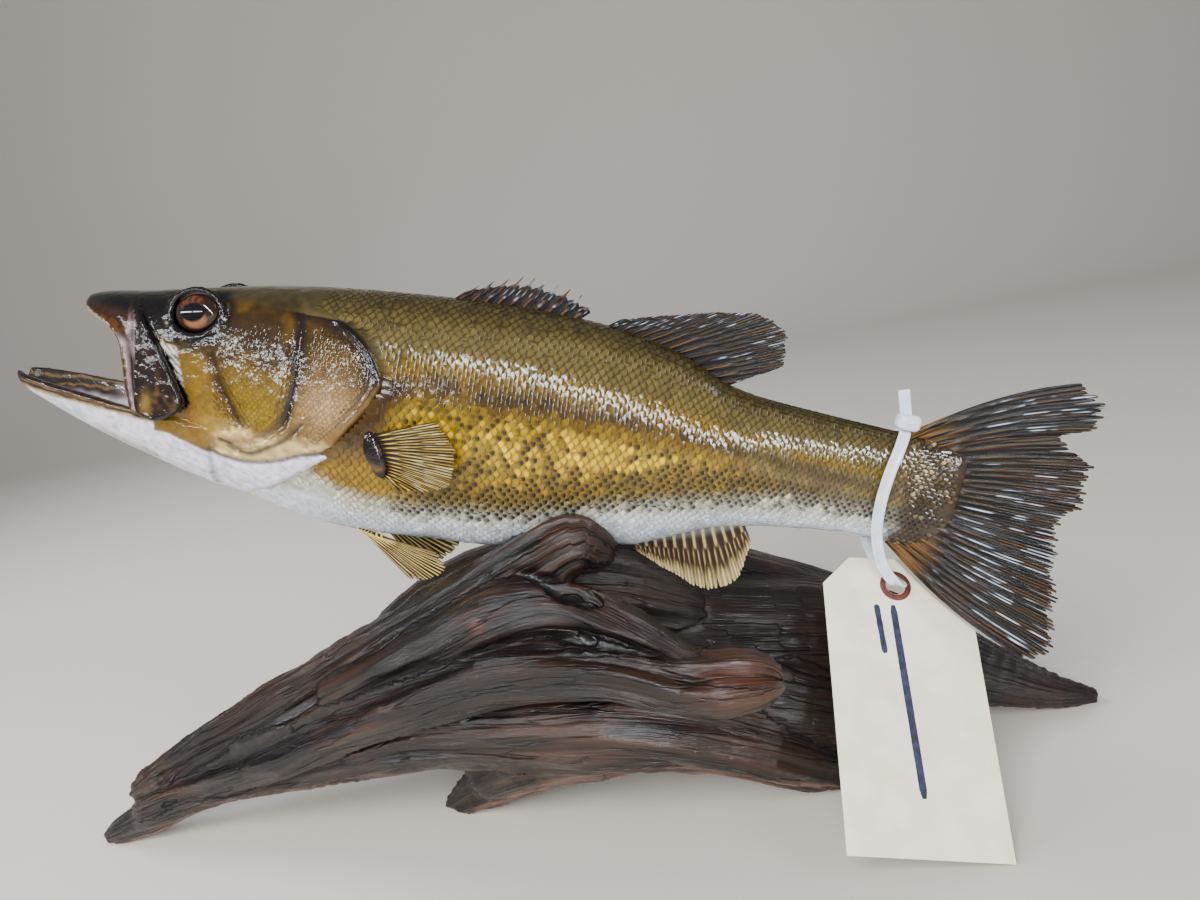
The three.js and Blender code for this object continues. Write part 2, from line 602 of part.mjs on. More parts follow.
// The card hangs from the strap and leans back from its bottom edge, which just clears
// the floor at its right corner.
function tagCard() {
  const { wide, long, thick, clip, hole, holeDown } = TAG;
  const shape = new THREE.Shape([
    [0, 0], [wide, 0], [wide, long - clip], [wide - clip, long], [clip, long], [0, long - clip],
  ].map(([x, y]) => new THREE.Vector2(x, y)));
  shape.holes.push(new THREE.Path().absarc(wide / 2, long - holeDown, hole, 0, 2 * Math.PI));
  const card = new THREE.ExtrudeGeometry(shape, { depth: thick, bevelEnabled: false, curveSegments: 8 });
  const left = new THREE.Vector3(...TAG_FOOT.left);
  const right = new THREE.Vector3(...TAG_FOOT.right).sub(left).normalize();
  const upright = right.clone().cross(new THREE.Vector3(0, 1, 0)).normalize();
  const lean = THREE.MathUtils.degToRad(TAG.lean);
  const up = upright.multiplyScalar(Math.cos(lean)).add(new THREE.Vector3(0, Math.sin(lean), 0));
  const out = right.clone().cross(up);
  const turn = new THREE.Matrix4().makeBasis(right, up, out).setPosition(left);
  return solid(card.applyMatrix4(turn));
}

// ---------------------------------------------------------------- the mount
const SKIN = { color: 0x6f6a2c, roughness: 0.35 };
const HEAD_SKIN = { color: 0x4a4420, roughness: 0.3 };
const PALE_SKIN = { color: 0xcfc8b4, roughness: 0.4 };
const DARK_FIN = { color: 0x3f3320, roughness: 0.4 };
const PALE_FIN = { color: 0xc9ad5c, roughness: 0.4 };
const GLASS = { color: 0x7a3f18, roughness: 0.05 };
const WOOD = { color: 0x3a211b, roughness: 0.35 };
const NYLON = { color: 0xe9eef2, roughness: 0.4 };
const CARD = { color: 0xf2f0dd, roughness: 0.8 };

const pieces = {
  head: [head, HEAD_SKIN],
  lower_jaw: [lowerJaw, PALE_SKIN],
  throat: [throat, PALE_SKIN],
  upper_lip: [lip(LIP_RADIUS), HEAD_SKIN],
  maxilla_left: [maxilla(-1).subtract(besideMaxilla), HEAD_SKIN],
  maxilla_right: [maxilla(1).subtract(besideMaxilla), HEAD_SKIN],
  gill_cover_left: [gillCover(-1), HEAD_SKIN],
  gill_cover_right: [gillCover(1), HEAD_SKIN],
  eye_left: [eyeSolid(-1), GLASS],
  eye_right: [eyeSolid(1), GLASS],
  trunk_front: [trunkFront, SKIN],
  trunk_rear: [trunkRear, SKIN],
  tail_stalk: [tailStalk, SKIN],
  dorsal_fin_spiny: [spinyDorsal.subtract(wholeBody), DARK_FIN],
  dorsal_fin_soft: [softDorsal.subtract(wholeBody), DARK_FIN],
  anal_fin: [analFin.subtract(wholeBody), PALE_FIN],
  pectoral_fin_left: [pectoralFin(-1), PALE_FIN],
  pectoral_fin_right: [pectoralFin(1), PALE_FIN],
  pelvic_fin_left: [pelvicFin(-1), PALE_FIN],
  pelvic_fin_right: [pelvicFin(1), PALE_FIN],
  tail_fin: [tailFin.subtract(strap(GAP)), DARK_FIN],
  driftwood: [driftwood, WOOD],
  tie_strap: [strap(), NYLON],
  tie_head: [tieHead(), NYLON],
  tag: [tagCard(), CARD],
};

const mount = new THREE.Group();
for (const [name, [manifold, finish]] of Object.entries(pieces)) {
  const mesh = new THREE.Mesh(geometryOf(manifold), new THREE.MeshStandardMaterial(finish));
  mesh.name = name;
  mount.add(mesh);
}

// The origin goes to the floor under the middle of the whole.
const box = new THREE.Box3().setFromObject(mount);
const centre = box.getCenter(new THREE.Vector3());
mount.position.set(-centre.x, -centre.y, 0);
mount.updateMatrixWorld(true);

export default mount;
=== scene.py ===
"""The looks of the largemouth bass mounted on driftwood."""

import math

import bpy
import numpy as np
from mathutils import Matrix, Vector
from mathutils.bvhtree import BVHTree


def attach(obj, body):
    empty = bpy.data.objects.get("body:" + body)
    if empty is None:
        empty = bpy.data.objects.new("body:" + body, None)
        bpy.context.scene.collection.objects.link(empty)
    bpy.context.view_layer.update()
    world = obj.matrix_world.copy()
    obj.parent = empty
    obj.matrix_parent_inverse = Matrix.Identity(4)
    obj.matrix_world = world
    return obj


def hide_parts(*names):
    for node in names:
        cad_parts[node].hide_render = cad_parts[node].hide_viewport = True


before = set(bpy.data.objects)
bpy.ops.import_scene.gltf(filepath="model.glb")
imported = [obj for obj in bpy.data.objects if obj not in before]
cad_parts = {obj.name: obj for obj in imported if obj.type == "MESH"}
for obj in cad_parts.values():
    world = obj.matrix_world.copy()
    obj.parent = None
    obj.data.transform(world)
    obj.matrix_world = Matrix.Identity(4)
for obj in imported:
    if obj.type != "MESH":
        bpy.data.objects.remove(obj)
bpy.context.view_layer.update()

# ---------------------------------------------------------------- numbers and small tools
# All shapes are worked out in millimetres and scaled to metres as they are made.
# Fish frame: x from the tip of the snout to the tail, z towards the back, y to its right.
MM = 0.001
SHIFT = np.array([77.5943, 15.2449, 0.0])  # from the carving's own origin to the part's
SNOUT = np.array([-268.3, 0.0, 304.9]) + SHIFT
NOSE_UP = math.radians(21)
TAILWARD = np.array([math.cos(NOSE_UP), 0, -math.sin(NOSE_UP)])
BACKWARD = np.array([math.sin(NOSE_UP), 0, math.cos(NOSE_UP)])
FORK_Z = -17.0
LOBE_TWIST = 0.36
STALK_END = 412.0
SKIN_END = 432.0
COAT = 0.5  # depth of the scales over the skin
JOIN_X = 168.0  # where the fine skin of the head meets the coarser one of the trunk
HEAD_STEP = 1.02  # of the grids that the skin and the wood are found on
WOOD_STEP = 1.45


def through(*knots):
    """A smooth curve through (at, value) knots that never overshoots them."""
    at = np.array([k[0] for k in knots], float)
    value = np.array([k[1] for k in knots], float)
    step = np.diff(at)
    rise = np.diff(value) / step
    slope = np.empty(len(at))
    slope[0], slope[-1] = rise[0], rise[-1]
    before, after = rise[:-1], rise[1:]
    same = before * after > 0
    slope[1:-1] = np.where(
        same, 2 / (1 / np.where(same, before, 1) + 1 / np.where(same, after, 1)), 0
    )

    def curve(x):
        x = np.clip(np.asarray(x, float), at[0], at[-1])
        i = np.clip(np.searchsorted(at, x, side="right") - 1, 0, len(step) - 1)
        s = (x - at[i]) / step[i]
        bend = (slope[i] * (1 - s) - slope[i + 1] * s + rise[i] * (2 * s - 1)) * step[i]
        return value[i] * (1 - s) + value[i + 1] * s + s * (1 - s) * bend

    return curve


def swing(x):
    x = np.asarray(x, float)
    return np.where(x > 150, -56 * ((x - 150) / 350) ** 2, -6 * ((150 - x) / 185) ** 2)


def place(points):
    """From the fish frame to the frame of the part, in millimetres."""
    p = np.asarray(points, float)
    out = SNOUT + p[..., 0:1] * TAILWARD + p[..., 2:3] * BACKWARD
    out[..., 1] += p[..., 1] + swing(p[..., 0])
    return out


def smooth(t):
    t = np.clip(t, 0, 1)
    return t * t * (3 - 2 * t)


def ramp(x, low, high):
    return smooth((np.asarray(x, float) - low) / (high - low))


def mix(a, b, t):
    return a + (b - a) * t


def bell(x, middle, width):
    return np.exp(-(((np.asarray(x, float) - middle) / width) ** 2))


def in_order(*parts):
    return np.stack(np.broadcast_arrays(*parts), axis=-1).astype(float)


def unit(v):
    return v / np.maximum(1e-12, np.linalg.norm(v, axis=-1, keepdims=True))


def noise(points, size, seed=0):
    """Smooth noise from -1 to 1 with bumps about `size` across (one number or three)."""
    p = np.asarray(points, float) / np.asarray(size, float) + 17.3 * seed
    cell = np.floor(p).astype(np.int64)
    f = p - cell
    f = f * f * (3 - 2 * f)
    total = np.zeros(p.shape[:-1])
    for corner in range(8):
        o = np.array([corner & 1, (corner >> 1) & 1, corner >> 2])
        h = (cell + o) @ np.array([73856093, 19349663, 83492791]) + seed * 2654435761
        h = (h ^ (h >> 13)) * 1274126177 & 0xFFFFFFFF
        h = (h ^ (h >> 16)) & 0xFFFF
        weight = np.prod(np.where(o, f, 1 - f), axis=-1)
        total += weight * h
    return total / 32767.5 - 1


def turbulence(points, size, seed=0, octaves=3):
    total, scale = 0, 1.0
    for k in range(octaves):
        total = total + scale * noise(points, np.asarray(size, float) / 2**k, seed + k)
        scale *= 0.5
    return total / 1.75


def spline(points, steps):
    """Points on a smooth line through `points` (centripetal Catmull-Rom), and how far along."""
    p = np.asarray(points, float)
    p = np.vstack([2 * p[0] - p[1], p, 2 * p[-1] - p[-2]])
    out = []
    for i in range(1, len(p) - 2):
        gap = [max(1e-6, np.linalg.norm(p[k + 1] - p[k])) ** 0.5 for k in range(i - 1, i + 2)]
        t0 = 0.0
        t1, t2, t3 = t0 + gap[0], t0 + gap[0] + gap[1], t0 + sum(gap)
        t = np.linspace(t1, t2, steps, endpoint=False)[:, None]
        a1 = (t1 - t) / (t1 - t0) * p[i - 1] + (t - t0) / (t1 - t0) * p[i]
        a2 = (t2 - t) / (t2 - t1) * p[i] + (t - t1) / (t2 - t1) * p[i + 1]
        a3 = (t3 - t) / (t3 - t2) * p[i + 1] + (t - t2) / (t3 - t2) * p[i + 2]
        b1 = (t2 - t) / (t2 - t0) * a1 + (t - t0) / (t2 - t0) * a2
        b2 = (t3 - t) / (t3 - t1) * a2 + (t - t1) / (t3 - t1) * a3
        out.append((t2 - t) / (t2 - t1) * b1 + (t - t1) / (t2 - t1) * b2)
    out.append(p[-2:-1])
    return np.vstack(out)


def line_distance(points, line, closed=False):
    """Distance from each point to a line of points, and how far along it (0 to 1)."""
    p = np.asarray(points, float)
    line = np.asarray(line, float)
    if closed:
        line = np.vstack([line, line[:1]])
    best = np.full(p.shape[:-1], np.inf)
    along = np.zeros(p.shape[:-1])
    length = np.concatenate([[0], np.cumsum(np.linalg.norm(np.diff(line, axis=0), axis=1))])
    for i in range(len(line) - 1):
        a, d = line[i], line[i + 1] - line[i]
        t = np.clip(((p - a) @ d) / max(1e-12, d @ d), 0, 1)
        gap = np.linalg.norm(p - a - t[..., None] * d, axis=-1)
        closer = gap < best
        best = np.where(closer, gap, best)
        along = np.where(closer, length[i] + t * (length[i + 1] - length[i]), along)
    return best, along / length[-1]


def outline_distance(points, outline):
    """Distance to a closed outline in the plane, negative inside it."""
    gap, _ = line_distance(points, outline, closed=True)
    x, z = points[..., 0], points[..., 1]
    inside = np.zeros(x.shape, bool)
    for (x0, z0), (x1, z1) in zip(outline, np.roll(outline, -1, axis=0)):
        if z0 == z1:
            continue
        cross = (z0 > z) != (z1 > z)
        inside ^= cross & (x < (x1 - x0) * (z - z0) / (z1 - z0) + x0)
    return np.where(inside, -gap, gap)


def smooth_union(a, b, k):
    h = np.clip(0.5 + 0.5 * (b - a) / k, 0, 1)
    return mix(b, a, h) - k * h * (1 - h)


def smooth_cut(a, b, k):
    """a with b taken away."""
    return -smooth_union(-a, b, k)


def surface(field, low, step):
    """The closed mesh where a field on a grid crosses zero; it is negative inside."""
    inside = field < 0
    size = np.array(field.shape) - 1
    count = np.zeros(size, np.int8)
    for o in np.ndindex(2, 2, 2):
        count += inside[tuple(slice(a, a + n) for a, n in zip(o, size))]
    cells = np.argwhere((count > 0) & (count < 8))
    index = np.full(size, -1, np.int64)
    index[tuple(cells.T)] = np.arange(len(cells))
    total = np.zeros((len(cells), 3))
    crossings = np.zeros(len(cells))
    for axis in range(3):
        ahead = np.eye(3, dtype=int)[axis]
        others = [k for k in range(3) if k != axis]
        for a, b in np.ndindex(2, 2):
            o = np.zeros(3, int)
            o[others[0]], o[others[1]] = a, b
            start = cells + o
            f0 = field[tuple(start.T)]
            f1 = field[tuple((start + ahead).T)]
            cross = (f0 < 0) != (f1 < 0)
            t = f0[cross] / (f0[cross] - f1[cross])
            total[cross] += o + t[:, None] * ahead
            crossings[cross] += 1
    points = np.asarray(low) + step * (cells + total / crossings[:, None])
    faces = []
    for axis in range(3):
        u, v = (axis + 1) % 3, (axis + 2) % 3
        here = [slice(1, -1)] * 3
        here[axis] = slice(0, -1)
        there = list(here)
        there[axis] = slice(1, None)
        change = inside[tuple(here)] != inside[tuple(there)]
        edges = np.argwhere(change)
        leaving = inside[tuple(here)][change]
        for k in range(3):
            if k != axis:
                edges[:, k] += 1
        eu, ev = np.eye(3, dtype=int)[u], np.eye(3, dtype=int)[v]
        quad = np.stack(
            [index[tuple((edges - o).T)] for o in (eu + ev, ev, 0 * eu, eu)], axis=1
        )
        quad[~leaving] = quad[~leaving][:, ::-1]
        faces.append(quad)
    return points, np.vstack(faces)


def grid_faces(rows, columns, closed=False, flip=False):
    """Quads of a grid of points, row by row; `closed` joins the last column to the first."""
    r = np.arange(rows - 1)[:, None] * columns
    c = np.arange(columns if closed else columns - 1)[None, :]
    d = (c + 1) % columns
    quad = np.stack([r + c, r + d, r + columns + d, r + columns + c], axis=-1).reshape(-1, 4)
    return quad[:, ::-1] if flip else quad


def in_scene(name, data):
    thing = bpy.data.objects.new(name, data)
    bpy.context.scene.collection.objects.link(thing)
    return thing


def mesh_object(name, points, faces, tint=None, grain=None):
    """A mesh from points in millimetres; `faces` is one array or a list of arrays."""
    faces = [faces] if isinstance(faces, np.ndarray) else faces
    mesh = bpy.data.meshes.new(name)
    loops = np.concatenate([f.ravel() for f in faces]).astype(np.int32)
    sizes = np.concatenate([np.full(len(f), f.shape[1]) for f in faces]).astype(np.int32)
    mesh.vertices.add(len(points))
    mesh.vertices.foreach_set("co", (np.asarray(points) * MM).astype(np.float32).ravel())
    mesh.loops.add(len(loops))
    mesh.loops.foreach_set("vertex_index", loops)
    mesh.polygons.add(len(sizes))
    starts = np.concatenate([[0], np.cumsum(sizes)[:-1]]).astype(np.int32)
    mesh.polygons.foreach_set("loop_start", starts)
    mesh.polygons.foreach_set("use_smooth", np.full(len(sizes), True))
    mesh.update(calc_edges=True)
    mesh.validate()
    if tint is not None:
        layer = mesh.attributes.new("tint", "FLOAT_COLOR", "POINT")
        rgba = np.ones((len(points), 4), np.float32)
        rgba[:, :3] = np.clip(tint, 0, 1)
        layer.data.foreach_set("color", rgba.ravel())
    if grain is not None:
        layer = mesh.attributes.new("grain", "FLOAT_VECTOR", "POINT")
        layer.data.foreach_set("vector", np.asarray(grain, np.float32).ravel())
    return in_scene(name, mesh)


def point_normals(points, faces):
    """Unit normals at the points of a mesh of quads."""
    a, b, c, d = (points[faces[:, k]] for k in range(4))
    across = np.cross(c - a, d - b)
    total = np.zeros_like(points)
    for k in range(4):
        np.add.at(total, faces[:, k], across)
    return unit(total)


def finish_piece(piece, material, replaced=()):
    piece.data.materials.append(material)
    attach(piece, "root")
    if replaced:
        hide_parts(*replaced)
    return piece


def rgb(red, green, blue):
    """A colour as seen on a screen (0 to 255), made linear."""
    c = np.array([red, green, blue]) / 255
    return np.where(c <= 0.04045, c / 12.92, ((c + 0.055) / 1.055) ** 2.4)


def plain(colour, points):
    """One colour at each point."""
    return np.broadcast_to(colour, points.shape).copy()


def paint(tint, *coats):
    """Lays colours over one another: each is followed by its amount at each point."""
    for colour, amount in zip(coats[::2], coats[1::2]):
        tint = tint + (colour - tint) * np.clip(amount, 0, 1)[..., None]
    return tint


def oval_spot(x, z, middle_x, middle_z, wide, high, waver=0.0):
    """A soft oval spot in the side view: 1 at its middle, fading outwards."""
    return bell(np.hypot((x - middle_x) / wide, (z - middle_z) / high) + waver, 0, 1)


# ---------------------------------------------------------------- camera
FOCAL_LENGTH = 832 / 1200  # as a share of the picture's width
PITCH, YAW, ROLL = (math.radians(a) for a in (13.15, 4.55, 10.7))
CAMERA_PLACE = Vector((SHIFT[0] * MM, (SHIFT[1] - 416) * MM, 0.280))


def aim_camera():
    """The photograph's place and angle."""
    flat = math.cos(PITCH)
    ahead = Vector((-math.sin(YAW) * flat, math.cos(YAW) * flat, -math.sin(PITCH)))
    level = Vector((math.cos(YAW), math.sin(YAW), 0))
    above = level.cross(ahead)
    right = math.cos(ROLL) * level - math.sin(ROLL) * above
    up = math.sin(ROLL) * level + math.cos(ROLL) * above
    lens = bpy.data.cameras.new("camera")
    lens.sensor_width = 36
    lens.lens = 36 * FOCAL_LENGTH
    lens.clip_start = 0.01
    camera = in_scene("camera", lens)
    turn = Matrix((right, up, -ahead)).transposed().to_4x4()
    camera.matrix_world = Matrix.Translation(CAMERA_PLACE) @ turn
    bpy.context.scene.camera = camera


aim_camera()

# ---------------------------------------------------------------- the fish's own shape
back = through(
    (-4, -2), (0, 1), (10, 4.6), (28, 8), (53, 13.9), (82, 20.3), (117, 26.3), (152, 30.4),
    (190, 33.6), (220, 35), (247, 34.6), (270, 32.6), (288, 29.4), (303, 24.4), (318, 18),
    (335, 15), (368, 13.4), (412, 12.4), (433, 8),
)
belly = through(
    (-4, -60), (6, -66), (38, -76.4), (64, -84), (83, -86.4), (102, -91), (129, -95.2),
    (147, -95.8), (194, -92.4), (212, -90.8), (228, -87.2), (248, -81.2), (270, -76),
    (286, -74), (300, -68), (312, -61.6), (326, -54.8), (340, -50.4), (363, -45.4),
    (396, -41), (414, -41), (433, -35),
)
half_width = through(
    (-4, 2), (0, 5.5), (4, 10), (14, 16.6), (30, 21.4), (50, 23.6), (64, 24.8), (82, 28),
    (110, 31), (140, 32.6), (185, 32.6), (225, 30.6), (260, 27), (300, 20.5), (340, 14),
    (380, 9.6), (402, 7.4), (412, 5.7), (417, 4.2), (425, 2.7), (433, 1.3),
)
widest = through(
    (-4, -5), (10, -6), (28, -12), (42, -22), (60, -27), (90, -31), (150, -33), (230, -30),
    (300, -24), (416, -15),
)
upper_power = through((0, 2.2), (30, 2.7), (60, 3), (90, 2.7), (130, 2.3), (190, 2.1))
LOWER_POWER = 2.15


def body_point(x, turn, swell=0.0):
    """A point of the flank; turn 0 is the back, a quarter turn the left side."""
    x, turn = np.broadcast_arrays(np.asarray(x, float), np.asarray(turn, float))
    middle = widest(x)
    up = np.cos(turn) > 0
    power = 2 / np.where(up, upper_power(x), LOWER_POWER)
    reach = np.where(up, back(x) - middle, middle - belly(x)) + swell
    across = np.sign(np.sin(turn)) * np.abs(np.sin(turn)) ** power
    along = np.sign(np.cos(turn)) * np.abs(np.cos(turn)) ** power
    return np.stack([x, -(half_width(x) + swell) * across, middle + reach * along], axis=-1)


def flank(x, z):
    """How far the flank stands out from the mid-plane at a height."""
    middle = widest(x)
    up = z > middle
    power = np.where(up, upper_power(x), LOWER_POWER)
    reach = np.where(up, back(x) - middle, middle - belly(x))
    part = np.clip(np.abs(z - middle) / reach, 0, 1)
    return half_width(x) * (1 - part**power) ** (1 / power)


def oval_field(y, z, half, up, down, power_up, power_down, middle):
    """Roughly the distance from an oval section, negative inside."""
    above = z > middle
    reach = np.where(above, up, down)
    power = np.where(above, power_up, power_down)
    a, b = np.abs(y) / half, np.abs(z - middle) / reach
    r = np.maximum(1e-3, (a**power + b**power) ** (1 / power))
    rho = np.hypot(y, z - middle)
    return np.where(rho < 1e-6, -np.minimum(half, reach), rho * (1 - 1 / r))


def body_field(x, y, z):
    middle = widest(x)
    return oval_field(
        y, z, half_width(x), back(x) - middle, middle - belly(x),
        upper_power(x), LOWER_POWER, middle,
    )


# ---------------------------------------------------------------- lines of the head from the side
GILL_EDGE = [
    (129, -51), (137, -44), (143, -35), (149.5, -25), (154, -16), (156.4, -9.7), (151, -0.6),
    (142, 9), (126, 16), (113, 18),
]
BONY_EDGE = [(129, -46), (139, -33), (147, -20), (150, -10), (147, -1), (139, 6), (127, 12),
             (114, 14)]
MOUTH_LINE = [(-9, -4.6), (14, -7.6), (24, -11), (30, -18), (33, -32), (37, -48)]
SEAM = [(109, 18), (113, 11), (115, 0.5), (116, -11), (115, -22), (113.6, -31), (111, -39),
        (104, -47), (93.5, -53), (81.5, -56)]
LOW_LINE = [(80, -53.5), (94, -58), (104, -53), (115, -45), (121, -37)]
COVER_LOW = [(57, -57), (76, -62), (94, -63), (110, -58.5), (121, -53.5), (130, -51)]
THROAT_EDGE = [(134, -52), (129, -56), (123, -61), (113, -69), (105, -75), (97, -79), (88, -84)]
CHEEK_GROOVE = [(72, -13), (75, -20), (79.5, -29), (85, -36.5), (89, -43)]
MEMBRANE = [(40.7, -7.5), (48, -12), (55, -13), (57.6, -23), (62, -39), (56, -36), (49, -22)]
MAXILLA = [
    (31.6, 6.4), (34.6, 0), (36.6, -13), (38, -34), (40, -46.6), (47, -50), (57, -46),
    (62.4, -39), (58.6, -31), (50, -17), (44, -9), (38, -1),
]
EYE = np.array([62.0, 0.0, 4.6])
EYE_RADIUS, EYE_DEPTH, EYE_LONG = 9.4, 18.6, 1.24
EYE_OUT = np.array([-0.14, -1.0, 0.1]) / math.sqrt(0.14**2 + 1 + 0.1**2)  # of the left eye


GILL_EDGE, BONY_EDGE, SEAM, LOW_LINE, COVER_LOW, THROAT_EDGE, CHEEK_GROOVE = (
    spline(line, 8)
    for line in (GILL_EDGE, BONY_EDGE, SEAM, LOW_LINE, COVER_LOW, THROAT_EDGE, CHEEK_GROOVE)
)
MAXILLA = spline(MAXILLA + MAXILLA[:1], 8)[:-1]
COVER = np.vstack([GILL_EDGE, [(113, 40), (60, 40), (40, -57)], COVER_LOW])
THROAT = np.vstack([COVER_LOW, THROAT_EDGE, [(70, -100), (40, -80), (45, -56)]])

mouth_top = through((-40, -20), (0, -7), (14, -5.2), (40, -7), (62, -13), (82, -24), (106, -42))
mouth_floor = through(
    (-40, -43), (-33, -46.5), (-24, -50), (0, -55), (30, -62), (54, -65), (78, -62), (106, -50)
)
mouth_half = through(
    (-40, 2), (-31.5, 4.5), (-25, 9), (-10, 13.6), (12, 17), (40, 19.6), (62, 18.6), (82, 14),
    (106, 4)
)
jaw_half = through((-33, 2.5), (-30, 8), (-23, 12.6), (-8, 17), (12, 20.4), (36, 22.6), (74, 25.4))
jaw_rim = through((-33, -42.4), (-18, -43.4), (10, -45.4), (36, -47.6), (74, -50))
jaw_low = through((-33, -46), (-30, -49.6), (-14, -56.8), (6, -64.8), (38, -75.4), (74, -84.8))
LIP_LINE = [
    (37, 24.6, -46.5), (34.4, 25, -36), (32.4, 24.6, -25), (29.4, 22.8, -15), (22.5, 19.4, -8.8),
    (13, 14.8, -5.4), (5.6, 9, -3.4), (2.8, 0, -2.4),
]
# (z, x) of the lip's front edge, of the fold of skin behind it, and the fold's (z, width)
LIP_FRONT = [(-48, 37), (-36, 34.4), (-25, 32.4), (-16, 29.6), (-9, 23), (-5, 13), (-2, 2.8)]
FOLD_EDGE = [(-48, 37.4), (-30, 34.6), (-16, 34.2), (-5, 33.6), (3, 30)]
FOLD_WIDTH = [(-36, 4.4), (-20, 5.4), (-8, 4.4), (2, 1.5)]


def head_relief(x, z):
    """How far the surface of the head stands out, seen from the side."""
    spot = np.stack([x, z], axis=-1)
    cover, throat = outline_distance(spot, COVER), outline_distance(spot, THROAT)
    (seam, along), (bony, _), (low, _), (cheek, _), (cover_low, _), (throat_edge, _) = (
        line_distance(spot, line)
        for line in (SEAM, BONY_EDGE, LOW_LINE, CHEEK_GROOVE, COVER_LOW, THROAT_EDGE)
    )
    behind_cover = np.where(cover > 0, np.exp(-cover / 5.0), 0)
    under_throat = np.where((throat > 0) & (z < -48), np.exp(-throat / 4), 0)
    rise = 1.2 * ramp(-cover, -0.2, 1.0) * ramp(x, 104, 122)  # the cover's free edge
    rise -= 2.0 * behind_cover * ramp(cover, 0, 0.9) * ramp(x, 112, 126)
    rise += 0.8 * ramp(-throat, 0, 1.2) * ramp(x, 84, 104) * (cover > -2)
    rise -= 1.2 * under_throat * ramp(x, 84, 104)
    rise -= 1.5 * bell(seam, 0, 1.7) * mix(1.0, 0.6, along)
    rise += 0.7 * bell(seam, 4.2, 2.0) * (x < 116)
    rise -= 0.7 * bell(bony, 0, 1.2) * ramp(x, 118, 132)
    rise -= 0.8 * bell(low, 0, 0.9) - 0.6 * bell(low, 2.6, 1.6)
    rise -= 1.6 * bell(cheek, 0, 2.3)
    rise -= 0.9 * bell(cover_low, 0, 1.0) * ramp(x, 62, 80)
    rise -= 0.5 * bell(throat_edge, 0, 0.8)
    rise += oval_spot(x, z, 98, -32, 13, 14)  # cheek muscle
    rise += 0.5 * oval_spot(x, z, 66, -30, 5, 12)
    for k in range(5):  # rays of the gill membrane under the cover
        ray = [(66 + 6 * k, -68 - 3.2 * k), (90 + 5 * k, -69 - 2.8 * k),
               (112 + 3 * k, -64 - 2.2 * k)]
        gap, _ = line_distance(spot, spline(ray, 8))
        rise += 0.45 * bell(gap, 0, 1.3) * ramp(-throat, -1, 2)
    return rise


